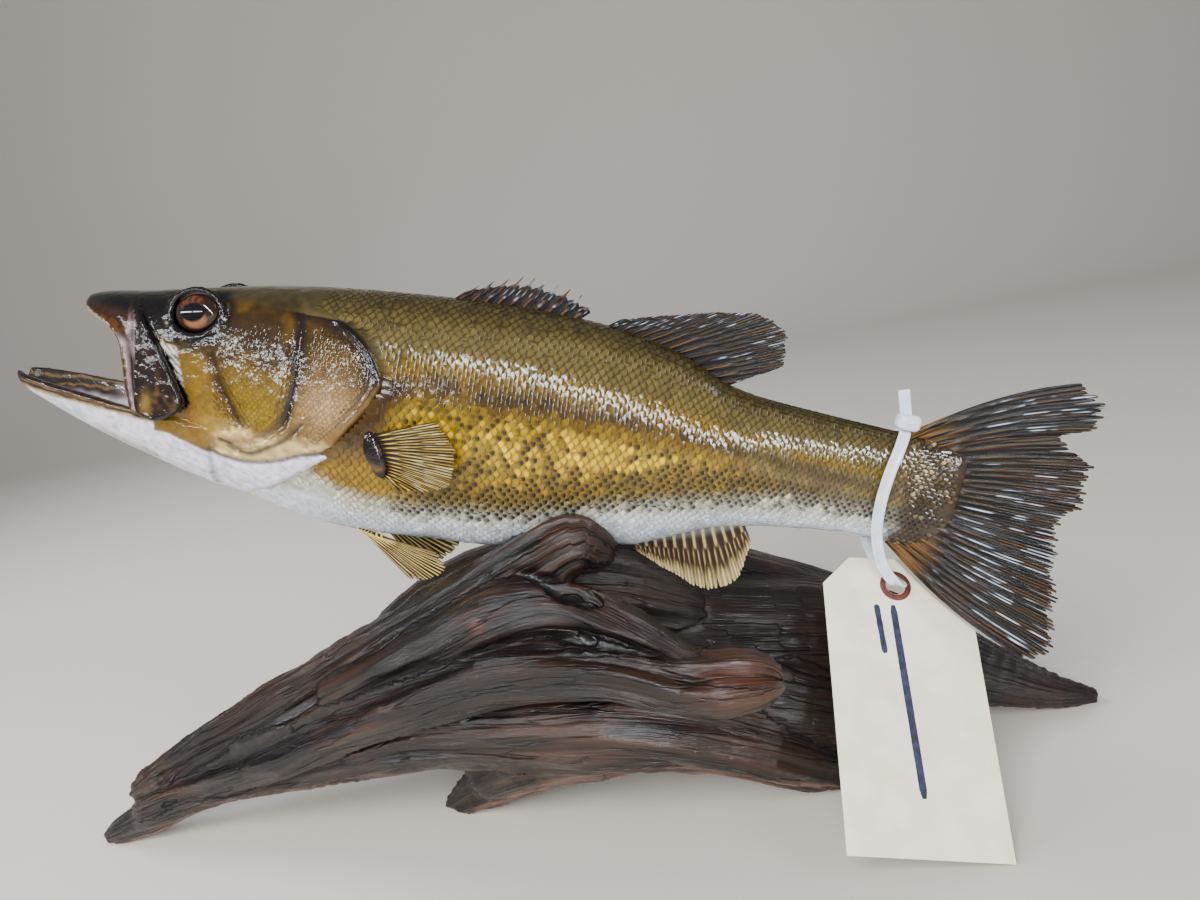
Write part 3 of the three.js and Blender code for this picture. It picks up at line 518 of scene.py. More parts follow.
def head_field(x, y, z):
    """The head, throat and open mouth in the fish frame; x, y and z are open grids."""
    side = np.abs(y)
    body = body_field(x, y, z)
    body = body + COAT * np.broadcast_to(ramp(x, 118, 140), body.shape)
    body = np.maximum(body, 0.6 - x)
    xz = np.stack(np.broadcast_arrays(x[:, 0, :], z[:, 0, :]), axis=-1)
    upper = np.array(
        [(230, 70), (-20, 70), *MOUTH_LINE, (57, -57.5), (68, -61), (68, -110), (230, -110)]
    )
    body = np.maximum(body, outline_distance(xz, upper)[:, None, :])
    rim, low = jaw_rim(x), jaw_low(x)
    jaw = oval_field(y, z, jaw_half(x), 1.0, rim - low, 2.33, 2.33, rim)
    jaw = np.maximum(np.maximum(jaw, z - rim), np.maximum(x - 74, -32.6 - x))
    skin = smooth_union(body, jaw, 1.6)
    # lip
    lip_line = spline(LIP_LINE, 6)
    lip = np.full(skin.shape, 50.0)
    near = int(np.searchsorted(x[:, 0, 0], 44))
    points = np.stack(np.broadcast_arrays(x[:near], side, z), axis=-1)
    gap, along = line_distance(points, lip_line)
    lip[:near] = gap - mix(2.0, 2.5, along)
    skin = smooth_union(skin, lip, 1.4)
    # mouth
    top, floor = mouth_top(x), mouth_floor(x)
    middle, reach = (top + floor) / 2, (top - floor) / 2
    mouth = oval_field(y, z, mouth_half(x), reach, reach, 2.5, 2.5, middle)
    skin = smooth_cut(skin, mouth, 1.2)
    # maxilla: a paddle beside the corner of the mouth
    paddle = outline_distance(xz, MAXILLA)[:, None, :]
    flare = 2.2 * (1 - ramp(z, -50, 8))
    reach_out = flank(x, np.maximum(z, widest(x))) + flare + 1.9
    rim_rise = 0.7 * bell(paddle, -1.2, 1.3) - 0.5 * bell(paddle, -4.4, 2.0)
    half_plate = 0.75 + 0.6 * ramp(z, 0, -40) + rim_rise * 0.5
    qa, qb = paddle + 1.1, np.abs(side - reach_out) - half_plate
    plate = np.hypot(np.maximum(qa, 0), np.maximum(qb, 0)) + np.minimum(np.maximum(qa, qb), 0) - 1.0
    skin = smooth_union(skin, plate, 1.0)
    # the tongue
    tongue = np.sqrt(((x - 38) / 26) ** 2 + (y / 8.5) ** 2 + ((z + 58) / 5.5) ** 2)
    skin = smooth_union(skin, (tongue - 1) * 5, 3)
    # relief and the eyes
    relief = head_relief(xz[..., 0], xz[..., 1])[:, None, :]
    outside = ramp(side, 6, 14)
    skin = skin - relief * outside * ramp(x, 44, 60)
    out = EYE_OUT * [1, -1, 1]
    from_eye = [x - EYE[0], side - EYE_DEPTH, z - EYE[2]]
    height = sum(a * b for a, b in zip(from_eye, out))
    length = from_eye[0] * math.cos(NOSE_UP) + from_eye[2] * math.sin(NOSE_UP)
    radial = sum(a * a for a in from_eye) - height**2 - length**2 * (1 - EYE_LONG**-2)
    radial = np.sqrt(np.maximum(0, radial))
    ring = np.hypot(radial - 10.9, height - 2.3) - 1.35
    skin = smooth_union(skin, np.where(side > 8, ring, 50), 2.2)
    fold = np.hypot(radial - 13.4, height - 1.0) - 0.5
    skin = smooth_cut(skin, np.where(side > 8, fold, 50), 1.0)
    socket = np.maximum(radial - 9.55, -height - 3.6)
    skin = smooth_cut(skin, np.where(side > 8, socket, 50), 0.5)
    for nx, nz in ((40.5, 9.4), (45.5, 11.6)):  # nostrils
        pit = np.sqrt((x - nx) ** 2 + (side - 15.5) ** 2 + (z - nz) ** 2) - 1.5
        skin = smooth_cut(skin, pit, 0.6)
    return skin


def head_mesh(step):
    low = np.array([-35.5, -37.0, -100.0])
    high = np.array([176.0, 37.0, 33.0])
    count = np.ceil((high - low) / step).astype(int) + 1
    axes = [low[k] + step * np.arange(count[k]) for k in range(3)]
    axes[1] = axes[1] - axes[1].mean()
    low[1] = axes[1][0]
    x, y, z = np.meshgrid(*axes, indexing="ij", sparse=True)
    field = head_field(x, y, z).astype(np.float32)
    field[axes[0] > 174] = 5.0
    return surface(field, low, step)


def open_end(points, faces, at):
    """Drops the faces beyond x = at, and returns the rest and the points round the opening."""
    keep = faces[(points[faces][..., 0] < at).all(axis=1)]
    edges = np.concatenate([np.stack([keep[:, k], keep[:, (k + 1) % 4]], 1) for k in range(4)])
    code = edges[:, 0] * len(points) + edges[:, 1]
    back_code = edges[:, 1] * len(points) + edges[:, 0]
    border = edges[~np.isin(code, back_code)]
    step = dict(map(tuple, border))
    start = border[np.argmax(points[border[:, 0], 2]), 0]
    loop, now = [start], step[start]
    while now != start:
        loop.append(now)
        now = step[now]
    return keep, np.array(loop)


def zip_loops(points, a, b):
    """Triangles between two rings that run the same way and start at the back."""
    def share(loop):
        p = points[np.append(loop, loop[0])][:, 1:]
        d = np.concatenate([[0], np.cumsum(np.linalg.norm(np.diff(p, axis=0), axis=1))])
        return d / d[-1]

    sa, sb = share(a), share(b)
    i = j = 0
    out = []
    while i < len(a) or j < len(b):
        if j >= len(b) or (i < len(a) and sa[i + 1] <= sb[j + 1]):
            out.append((a[i], a[(i + 1) % len(a)], b[j % len(b)]))
            i += 1
        else:
            out.append((a[i % len(a)], b[(j + 1) % len(b)], b[j]))
            j += 1
    return np.array(out)


def make_skin():
    """One skin over head, throat, jaw, trunk and tail stalk, in the fish frame."""
    head, head_faces = head_mesh(HEAD_STEP)
    head_faces, ring = open_end(head, head_faces, JOIN_X)
    used = np.unique(head_faces)
    renumber = np.full(len(head), -1)
    renumber[used] = np.arange(len(used))
    head, head_faces, ring = head[used], renumber[head_faces], renumber[ring]
    # let the cut grid of the head relax a little, so no steps of the grid show
    for _ in range(2):
        total, count = np.zeros_like(head), np.zeros(len(head))
        for k in range(4):
            after, before = head_faces[:, (k + 1) % 4], head_faces[:, k - 1]
            np.add.at(total, head_faces[:, k], head[after] + head[before])
            np.add.at(count, head_faces[:, k], 2)
        average = total / count[:, None]
        fixed = np.isin(np.arange(len(head)), ring)
        head = np.where(fixed[:, None], head, mix(head, average, 0.45))
    columns = 120
    rows = np.concatenate([np.arange(JOIN_X + 0.9, SKIN_END - 1, 2.5), [SKIN_END]])
    turn = np.arange(columns) / columns * 2 * np.pi
    trunk = body_point(rows[:, None], turn[None, :], -COAT)
    trunk = np.vstack([trunk.reshape(-1, 3), [[SKIN_END + 0.6, 0, -14.5]]])
    base = len(head)
    trunk_faces = grid_faces(len(rows), columns, closed=True) + base
    first = base + np.arange(columns)
    last = base + (len(rows) - 1) * columns + np.arange(columns)
    hub = base + len(trunk) - 1
    cap = np.stack([last, np.roll(last, -1), np.full(columns, hub)], 1)
    points = np.vstack([head, trunk])
    # make both rings run the same way round
    def spin(loop):
        p = points[loop][:, 1:] - [0, -30]
        return np.sum(p[:, 0] * np.roll(p[:, 1], -1) - p[:, 1] * np.roll(p[:, 0], -1))

    if spin(ring) * spin(first) < 0:
        ring = ring[::-1]
        start = np.argmax(points[ring, 2])
        ring = np.roll(ring, -start)
    seam = zip_loops(points, ring, first)

    def outward(faces):
        mid = points[faces].mean(axis=1) - [0, 0, -30]
        sides = points[faces[:, 1]] - points[faces[:, 0]], points[faces[:, 2]] - points[faces[:, 0]]
        away = (np.cross(*sides)[:, 1:] * mid[:, 1:]).sum()
        return faces if away > 0 else faces[:, ::-1]

    trunk_faces = outward(trunk_faces)
    if np.cross(*(points[cap[0, k]] - points[cap[0, 2]] for k in (0, 1)))[0] < 0:
        cap = cap[:, ::-1]
    return points, np.vstack([head_faces, trunk_faces]), np.vstack([outward(seam), cap])


# ---------------------------------------------------------------- markings
BACK_DARK = rgb(66, 58, 36)
BACK = rgb(102, 90, 56)
GOLD = rgb(142, 112, 40)
YELLOW = rgb(196, 164, 40)
PALE = rgb(180, 180, 166)
WHITE = rgb(194, 199, 205)
DARK = rgb(38, 26, 20)
BLACK = rgb(10, 8, 8)
BROWN = rgb(70, 47, 20)
OLIVE_GOLD = rgb(128, 102, 50)
CREAM = rgb(204, 180, 134)
LAVENDER = rgb(208, 206, 218)

# heights of the dark band and of the white belly's upper limit
band_z = through(
    (150, -12), (165, -9), (188, -6), (212, -5.5), (260, -6), (300, -8), (350, -12), (412, -14),
)
white_z = through(
    (120, -56), (150, -66), (170, -66), (196, -63), (220, -60), (249, -52), (277, -43),
    (314, -34), (358, -25), (412, -20),
)


def body_colour(points):
    """The fish's markings behind the gill covers: back, band, yellow flank, white belly, and
    painted shade along the covers' edge.
    """
    x, z = points[:, 0], points[:, 2]
    top, band, white = back(x), band_z(x), white_z(x)
    drift = 2.0 * noise(points, 14, 3) + 1.2 * noise(points, 5, 4)
    yellow = ramp(-z - 0.5 * drift, -band + 5, -band + 13)
    yellow = yellow * ramp(x, 150, 172) * mix(1, 0.15, ramp(x, 300, 380))
    blotch = ramp(noise(points, (11, 30, 7), 8) + 0.5 * noise(points, (4, 9, 3.5), 9), -0.45, 0.2)
    along_band = bell(z, band - 0.5, mix(7.5, 3.5, ramp(x, 200, 330)))
    along_band = along_band * mix(1.0, 0.75, ramp(x, 225, 330)) * ramp(x, 148, 160)
    behind = outline_distance(points[:, [0, 2]], COVER)  # the brown flap behind the gill cover, and painted shade under the cover's edge
    behind = bell(behind, 4.0, mix(6.0, 10.0, ramp(-z, 16, 34))) * (x > 110)
    behind = behind * ramp(-z, 4, 16) * (1 - ramp(-z, 46, 56))
    breast = ramp(-x, -168, -140) * ramp(-z, 38, 50) * (1 - ramp(-z, 72, 84))
    root = ramp(x + 3 * noise(points, 6, 10), 400, 412)  # where the scales run out over the tail
    tint = paint(
        plain(GOLD, points),
        BACK, ramp(z + drift, mix(band, top, 0.12), mix(band, top, 0.45)),
        BACK_DARK, 0.85 * ramp(z + drift, mix(band, top, 0.5), mix(band, top, 0.95)),
        rgb(132, 125, 94), 0.85 * ramp(x, 290, 370) * (z < band + 4),
        YELLOW, 0.95 * yellow,
        BROWN, 0.4 * yellow * ramp(noise(points, (12, 20, 9), 19), 0.0, 0.7),
        rgb(84, 64, 30), 0.5 * yellow * ramp(noise(points, (3, 8, 2.4), 18), 0.1, 0.7),
        rgb(30, 22, 22), along_band * mix(0.6, 1.0, blotch),
        rgb(92, 76, 38), 0.5 * bell(z, white + 4, 9) * ramp(x, 165, 185),
        PALE, 0.92 * ramp(-z + 0.6 * drift, -white - 3, -white + 5),
        WHITE, ramp(-z, -white + 6, -white + 17),
        # near black just outside the gill cover's edge: the brown flap there, darkened with painted
        # shade under the cover's edge
        rgb(36, 21, 15), 0.96 * behind,
        rgb(150, 124, 66), 0.6 * breast * ramp(drift, -2, 1.5),
        rgb(58, 42, 25), 0.95 * root,
        rgb(40, 27, 16), 0.8 * root * ramp(noise(points, 4, 7), -0.1, 0.5),
    )
    return tint * (1 + 0.14 * noise(points, 2.2, 5))[:, None]


def head_colour(points):
    """The markings of the head, then those of the paddle, the jaw, the mouth and the lip."""
    x, y, z = points.T
    side, spot = np.abs(y), points[:, [0, 2]]
    cover, throat, paddle, membrane = (
        outline_distance(spot, line) for line in (COVER, THROAT, MAXILLA, MEMBRANE)
    )
    (seam, along), (low, _), (cheek, _), (cover_low, _), (bony, _) = (
        line_distance(spot, line) for line in (SEAM, LOW_LINE, CHEEK_GROOVE, COVER_LOW, BONY_EDGE)
    )
    drift = noise(points, 9, 11) + 0.6 * noise(points, 3.5, 12)
    cloud, fine = turbulence(points, 16, 17), noise(points, 2.0, 13)

    def patch(middle_x, middle_z, wide, high, waver=0.0):
        return oval_spot(x, z, middle_x, middle_z, wide, high, waver * drift)

    # outside: a brown mask over the upper half, black before and round the eye, a cream flange
    crown = ramp(z, 8, 16)
    mask = ramp(mix(68, 52, crown) - x + 7 * drift, 0, mix(14, 34, crown))
    from_eye = np.hypot(x - EYE[0], z - EYE[2])
    round_eye = np.sin(np.arctan2(z - EYE[2], x - EYE[0]) * 9 + 3 * drift)
    flange = ramp(-z - 2.5 * drift, 41, 50) * ramp(x, 72, 84)
    cover_rim = bell(cover, -1.5, 1.6) * ramp(x, 120, 135) * (z < -4)
    stripes = ramp(np.sin((x * 0.65 + z * 0.76) * 2.9 + 0.8 * drift), -0.1, 0.6)
    throat_rays = 1 - ramp(np.abs(np.sin((z + 0.32 * x + 1.2 * drift) * 0.62)), 0.0, 0.35)
    tint = paint(
        plain(OLIVE_GOLD, points),
        rgb(50, 34, 15), 0.95 * ramp(z + 7 * drift, -24, -3),
        rgb(112, 84, 34), 0.7 * ramp(cloud, 0.05, 0.5) * ramp(z, -22, -8) * ramp(x, 74, 84),
        rgb(150, 124, 50), 0.75 * patch(98, -36, 15, 10),
        rgb(142, 108, 50), 0.8 * patch(67, -26, 5, 12),
        rgb(104, 78, 34), 0.8 * patch(131, -4, 14, 11),
        rgb(188, 156, 124), 0.85 * patch(131, -26, 15, 13) * (cover < 2),
        BACK_DARK, ramp(z + 2 * drift, back(x) - 12, back(x) - 2),
        BLACK, 0.95 * mask * ramp(z + 3 * drift, -16, -4),
        BLACK, 0.97 * (1 - ramp(from_eye + 2.5 * drift, 13, 21)) * ramp(side, 8, 14),
        BLACK, 0.95 * patch(112, 17, 9, 4.5, 0.2),
        rgb(96, 78, 40), 0.5 * bell(from_eye, 15.5, 0.8) * ramp(round_eye, 0.2, 0.9),
        BLACK, 0.97 * bell(seam, 0, 3.4) * ramp(-along, -0.8, -0.55),
        DARK, 0.9 * bell(seam, 0, 1.8) * (side > 10),
        rgb(50, 34, 16), 0.95 * bell(cheek, 0, 3.2),
        BLACK, 0.95 * patch(150, -3, 6.5, 8),
        DARK, 0.7 * bell(bony, 1.5, 1.4) * (cover < 0) * ramp(z, -40, -20),
        CREAM, 0.9 * flange,
        rgb(236, 208, 150), 0.8 * flange * ramp(fine + drift, 0.1, 0.9),
        rgb(150, 88, 38), 0.7 * patch(64.5, -46, 3, 5, 0.3),
        rgb(186, 150, 80), 0.6 * patch(76, -47, 9, 6),
        rgb(120, 74, 34), 0.5 * cover_rim * ramp(drift, -0.6, 0.6),
        BLACK, 0.95 * bell(cover + 0.8 * drift, -1.5, 2.6) * (x > 104) * ramp(z, -16, -8),
        rgb(130, 84, 40), 0.45 * bell(seam, 1.5, 2.0) * ramp(along, 0.55, 0.75),
        DARK, 0.85 * bell(low, 0, 1.2) * (side > 10),
        LAVENDER, (1 - ramp(throat + 0.5 * drift, -0.6, 0.8)) * (z < -48),
        DARK, 0.75 * bell(cover_low, 0, 1.0) * ramp(x, 60, 80),
        rgb(196, 190, 184), ramp(-membrane, -0.5, 0.4),
        rgb(66, 60, 62), 0.8 * ramp(-membrane, 0, 0.5) * stripes,
        rgb(150, 146, 150), 0.45 * (1 - ramp(throat, -2, 0)) * throat_rays * (z < -52),
    )
    # the paddle of the upper jaw
    on_paddle = (paddle < 0.6) & (side > flank(x, np.maximum(z, widest(x))) - 1.0)
    flecks = ramp(noise(points, (3, 3, 11), 15) + 0.4 * fine, -0.1, 0.5)
    bone = paint(
        plain(rgb(34, 19, 13), points),
        rgb(96, 72, 38), 0.85 * flecks * ramp(-z, 20, 36),
        rgb(150, 122, 72), 0.85 * patch(45, -42, 2.2, 5.5, 0.3),
        BLACK, bell(paddle, -0.6, 1.2),
    )
    # the lower jaw: white outside, a dark and tan band of teeth along its rim
    rim = jaw_rim(np.minimum(x, 74))
    on_jaw = (x < 46) & (z < rim + 1.2)
    band = mix(3.0, 2.0, ramp(x, -33, 20))
    up = (z + 0.7 * drift - rim) / band
    jaw = paint(
        plain(LAVENDER, points),
        WHITE, ramp(noise(points, (14, 9, 4), 16), -0.2, 0.6),
        rgb(150, 118, 70), 0.55 * bell(z, jaw_low(np.minimum(x, 74)) + 6, 3.0) * ramp(x, -10, 30),
        rgb(170, 146, 112), ramp(up, -2.6, -1.9),
        rgb(34, 22, 16), ramp(up, -1.75, -1.45),
        rgb(142, 116, 84), 0.9 * bell(up, -0.85, 0.55 / band),
        rgb(30, 20, 15), 0.9 * ramp(-x + 2 * drift, 22, 30),
    )
    # the inside of the mouth
    middle, half = (mouth_top(x) + mouth_floor(x)) / 2, (mouth_top(x) - mouth_floor(x)) / 2
    in_mouth = np.abs(y / mouth_half(x)) ** 2.5 + np.abs((z - middle) / half) ** 2.5 < 1.16
    depth = rim - z + 0.8 * drift
    near_rim = (z < -36) * (1 - ramp(depth, 6.0, 9.0) * ramp(x, -26, -10))
    near_rim = near_rim * (1 - ramp(x + 4 * drift, 4, 22))
    teeth = ramp(np.sin(depth * 1.7 + 0.1 * x + 1.2 * drift), 0.45, 0.9)
    flesh = paint(
        plain(rgb(200, 194, 198), points),
        rgb(96, 68, 56), ramp(x, 34, 74),
        DARK, 0.4 * ramp(drift, 0.5, 1.2),
        rgb(40, 27, 20), 0.95 * near_rim,
        rgb(146, 120, 88), 0.9 * near_rim * teeth,
        rgb(172, 150, 146), 0.8 * ramp(z, -22, -10) * (1 - ramp(x, 30, 60)),
    )
    # the lip, and how far a point lies behind its front edge
    lip_gap, _ = line_distance(in_order(x, side, z), spline(LIP_LINE, 4))
    on_lip = (lip_gap < 3.0) & (x < 42)
    front = x - np.interp(z, *zip(*LIP_FRONT))
    lip = paint(
        plain(rgb(98, 62, 32), points),
        rgb(50, 30, 17), ramp(fine + drift, -0.3, 0.4),
        rgb(172, 158, 142), 0.9 * ramp(-front + 0.6 * fine, 1.0, 1.7),
        rgb(58, 34, 20), 0.9 * bell(front, 0.1, 0.5),
        rgb(176, 158, 158), 0.95 * ramp(front + 0.3 * fine, 0.3, 0.9) * ramp(-z, 10, 16),
        rgb(40, 24, 15), 0.85 * ramp(z, -5, -1.5) * ramp(front, -1.6, -0.6),
    )
    in_mouth = in_mouth & (x < 104)
    for part, colours in ((on_paddle, bone), (on_jaw, jaw), (in_mouth, flesh), (on_lip, lip)):
        tint[part] = colours[part]
    # the fold of skin between lip and paddle
    edge = x - np.interp(z, *zip(*FOLD_EDGE))
    in_fold = ~on_lip & (edge < 0.3) & (z < 4) & (z > -48)
    in_fold &= (side > 10) & (paddle > 0) & (front > 1)
    width = np.interp(z, *zip(*FOLD_WIDTH))
    fold = paint(
        tint,
        rgb(52, 31, 19), 0.9 * ramp(-z, -2, 3),
        rgb(148, 134, 136), 0.95 * ramp(-z, -3, 9) * ramp(edge + width + 0.5 * drift, -0.5, 0.5),
        rgb(44, 28, 22), 0.8 * bell(edge, -1.2, 0.7) * ramp(z, -30, -8),
    )
    tint[in_fold] = fold[in_fold]
    return tint * (1 + 0.2 * fine)[:, None]


def skin_colour(points):
    """The head's markings, giving way to the body's behind the gill covers and the nape."""
    x, z, spot = points[:, 0], points[:, 2], points[:, [0, 2]]
    share = ramp(outline_distance(spot, COVER), -0.4, 0.6) * ramp(x, 88, 100)
    share = np.maximum(np.where(z > 14, ramp(x, 96, 118), share), ramp(x, 154, 158))
    share = np.where((outline_distance(spot, THROAT) < 0) & (z < -48), 0, share)
    both = body_colour(points)
    near_head = x < 160
    both[near_head] = mix(head_colour(points[near_head]), both[near_head], share[near_head, None])
    return both


# ---------------------------------------------------------------- materials
def node_tree(name):
    material = bpy.data.materials.new(name)
    material.use_nodes = True
    return material, material.node_tree, material.node_tree.nodes["Principled BSDF"]


def feed(tree, socket, value):
    """Links a node's input to an output, or sets it to a value."""
    if isinstance(value, bpy.types.NodeSocket):
        tree.links.new(value, socket)
    else:
        socket.default_value = value


def dress(tree, node, **values):
    """Feeds a node's inputs by name, and sets what isn't an input as a property.

    What a property switches on has to come after it."""
    for key, value in values.items():
        socket = node.inputs.get(key.replace("_", " "))
        if socket is None:
            setattr(node, key, value)
        else:
            feed(tree, socket, value)


def add(tree, kind, *inputs, **values):
    """A new node, with its inputs fed in their order or by name."""
    node = tree.nodes.new("ShaderNode" + kind)
    for socket, value in zip(node.inputs, inputs):
        feed(tree, socket, value)
    dress(tree, node, **values)
    return node


def shaded(tree, shade):
    """The colour of the points of a piece, made lighter and darker by a factor."""
    colour = add(tree, "Attribute", attribute_name="tint").outputs["Color"]
    return add(tree, "VectorMath", colour, operation="SCALE", Scale=shade).outputs["Vector"]


def tinted(name, coat, coat_roughness, bump, bump_size, mottle):
    """A varnished surface coloured by its own points, with fine mottling and grain."""
    material, tree, shader = node_tree(name)
    place_on = add(tree, "TexCoord").outputs["Object"]
    fine = add(tree, "TexNoise", Vector=place_on, Scale=bump_size, Detail=3.0).outputs["Fac"]
    spread = add(tree, "MapRange", fine, To_Min=1 - mottle, To_Max=1 + mottle)
    rough = add(tree, "MapRange", fine, To_Min=0.4, To_Max=0.6)
    dent = add(tree, "Bump", Height=fine, Strength=1.0, Distance=bump).outputs["Normal"]
    dress(
        tree, shader, Base_Color=shaded(tree, spread.outputs["Result"]),
        Roughness=rough.outputs["Result"], Specular_IOR_Level=0.1, Coat_Weight=coat,
        Coat_Roughness=coat_roughness, Normal=dent, Coat_Normal=dent,
    )
    return material


skin_finish = tinted("fish_skin", 0.85, 0.08, bump=0.00045, bump_size=300, mottle=0.4)
scale_finish = tinted("fish_scales", 0.8, 0.08, bump=0.00006, bump_size=700, mottle=0.2)
fin_finish = tinted("fish_fins", 0.3, 0.16, bump=0.00015, bump_size=1500, mottle=0.25)


def deepen(tint):
    """Richer and darker colours, except for the whites."""
    grey = (tint @ [0.3, 0.6, 0.1])[..., None]
    rich = np.clip(grey + (tint - grey) * 1.18, 0.0015, 1)
    return rich * mix(0.62, 1.0, ramp(grey, 0.22, 0.62))


# ---------------------------------------------------------------- skin
skin_points, skin_quads, skin_triangles = make_skin()
skin_tint = deepen(skin_colour(skin_points))
wrinkle = turbulence(skin_points, (7, 5, 4.2), 91, 2)
wrinkle = wrinkle * ramp(-skin_points[:, 0], -176, -150) * ramp(skin_points[:, 0], 26, 36)
skin_points = skin_points + point_normals(skin_points, skin_quads) * (0.32 * wrinkle)[:, None]
skin = mesh_object("fish_skin", place(skin_points), [skin_quads, skin_triangles], skin_tint)
finish_piece(
    skin, skin_finish,
    ("head", "lower_jaw", "throat", "upper_lip", "maxilla_left", "maxilla_right", "gill_cover_left",
     "gill_cover_right", "trunk_front", "trunk_rear", "tail_stalk"),
)


# ---------------------------------------------------------------- scales
def unwrap(points):
    """Where a point of the body lies on a flat unwrap of the skin: along it and round it."""
    turn = np.arctan2(-points[:, 1], points[:, 2] + 30) / (2 * math.pi) + 0.5
    return np.stack([0.03 + 0.94 * (points[:, 0] + 40) / 470, 0.03 + 0.94 * turn], axis=-1)


def scale_shape(along, across):
    """One scale: rows from its hidden root to its free edge, then the thickness of that edge.

    With each point come how much it belongs to the bright heart and to the dark dot."""
    s = np.linspace(0, 1, along)[:, None]
    t = np.linspace(-1, 1, across)[None, :]
    end = np.sqrt(1 - (np.maximum(0, s - 0.5) / 0.53) ** 2.2)
    width = np.where(s < 0.5, mix(0.75, 1.0, s / 0.5), end)
    b = width * t
    rise = 0.08 + 0.86 * s - 0.15 * (t * width) ** 2 - 0.26 * s**3
    heart = (1 - np.abs(t) ** 2.2) * bell(s, 0.70, 0.27)
    dot = np.clip(2.0 * bell(s, 0.82, 0.22) * bell(b, 0, 0.44), 0, 1)
    a = np.broadcast_to(s, b.shape)
    edge = np.stack([a[-1] + 0.012, b[-1] * 1.02, rise[-1] - 0.7], -1)
    shape = np.stack([a, b, rise], -1).reshape(-1, 3)
    zero = np.zeros(across)
    return np.vstack([shape, edge]), np.append(heart.ravel(), zero), np.append(dot.ravel(), zero)


def scale_coat(name, roots, tails, ups, lengths, widths, lifts, colours, seed,
               along=6, across=7, mirrored=False):
    """Joined scales; roots, tails and ups are in the fish frame."""
    shape, centre, dot = scale_shape(along, across)
    n, k = len(roots), len(shape)
    tails = unit(tails - np.sum(tails * ups, 1, keepdims=True) * ups)
    sides = np.cross(ups, tails)
    jitter = noise(roots, 2.3, seed)[:, None]
    a = (shape[:, 0] - 0.42)[None, :] * lengths[:, None]
    b = shape[:, 1][None, :] * widths[:, None] / 2
    c = shape[:, 2][None, :] * lifts[:, None] * (1 + 0.3 * jitter) - 0.12
    c = c + 0.16 * noise(roots, 1.9, seed + 1)[:, None] * shape[:, 1][None, :]
    points = roots[:, None, :] + a[..., None] * tails[:, None]
    points = points + b[..., None] * sides[:, None] + c[..., None] * ups[:, None]
    quads = grid_faces(along + 1, across)
    faces = (quads[None] + np.arange(n)[:, None, None] * k).reshape(-1, 4)
    rim, heart, dark = colours
    tint = mix(rim[:, None, :], heart[:, None, :], centre[None, :, None])
    share = np.clip(dot[None, :] * dark[:, None], 0, 1)[..., None]
    tint = deepen(mix(tint, rgb(24, 14, 10), share))
    piece = mesh_object(name, place(points.reshape(-1, 3)), faces, tint.reshape(-1, 3))
    layer = piece.data.uv_layers.new(name="OFBake")
    local = np.stack([shape[:, 0] - 0.5, shape[:, 1] / 2], -1) * 0.003
    uv = (unwrap(roots)[:, None, :] + local[None]).reshape(-1, 2)[faces.ravel()]
    layer.data.foreach_set("uv", uv.astype(np.float32).ravel())
    if mirrored:
        piece.data.flip_normals()
    return finish_piece(piece, scale_finish)


def trunk_scales():
    """Roots of the scales of the trunk, row by row from the lateral line."""
    line_share = through((150, 0.27), (250, 0.30), (412, 0.42))
    columns, x = [], 117.0
    pitch = through((110, 3.7), (150, 4.1), (260, 4.1), (330, 3.5), (412, 3.0))
    while x < SKIN_END + 1:
        columns.append(x)
        x += float(pitch(x)) / 2
    turns = np.linspace(0, math.pi, 240)
    roots, sizes = [], []
    for j, x in enumerate(columns):
        ring = body_point(np.full(240, x), turns)
        arc = np.concatenate([[0], np.cumsum(np.linalg.norm(np.diff(ring, axis=0), axis=1))])
        girth = arc[-1]
        step = float(pitch(x)) * 1.34
        start = line_share(x) * girth
        i = np.arange(-40, 60) + 0.5 * (j % 2)
        s = start + step * np.where(i < 0, i + 0.010 * i**2, i - 0.004 * i**2)
        fine = (s > 0.6) & (s < girth - 0.6)
        s, i = s[fine], i[fine]
        turn = np.interp(s, arc, turns)
        roots.append(body_point(np.full(len(s), x), turn, -COAT))
        squeeze = np.where(i < 0, 1 + 0.02 * i, 1 - 0.008 * i)
        sizes.append(np.stack([np.full(len(s), float(pitch(x))), step * squeeze, turn], -1))
    return np.vstack(roots), np.vstack(sizes)


def trunk_ups(x, turn):
    """Which way is out from the trunk's skin."""
    h = 1e-3
    a = body_point(x + h, turn, -COAT) - body_point(x - h, turn, -COAT)
    b = body_point(x, turn + h, -COAT) - body_point(x, turn - h, -COAT)
    n = unit(np.cross(a, b))
    outward = np.stack([0 * x, -np.sin(turn), np.cos(turn)], -1)
    return n * np.sign(np.sum(n * outward, 1))[:, None]


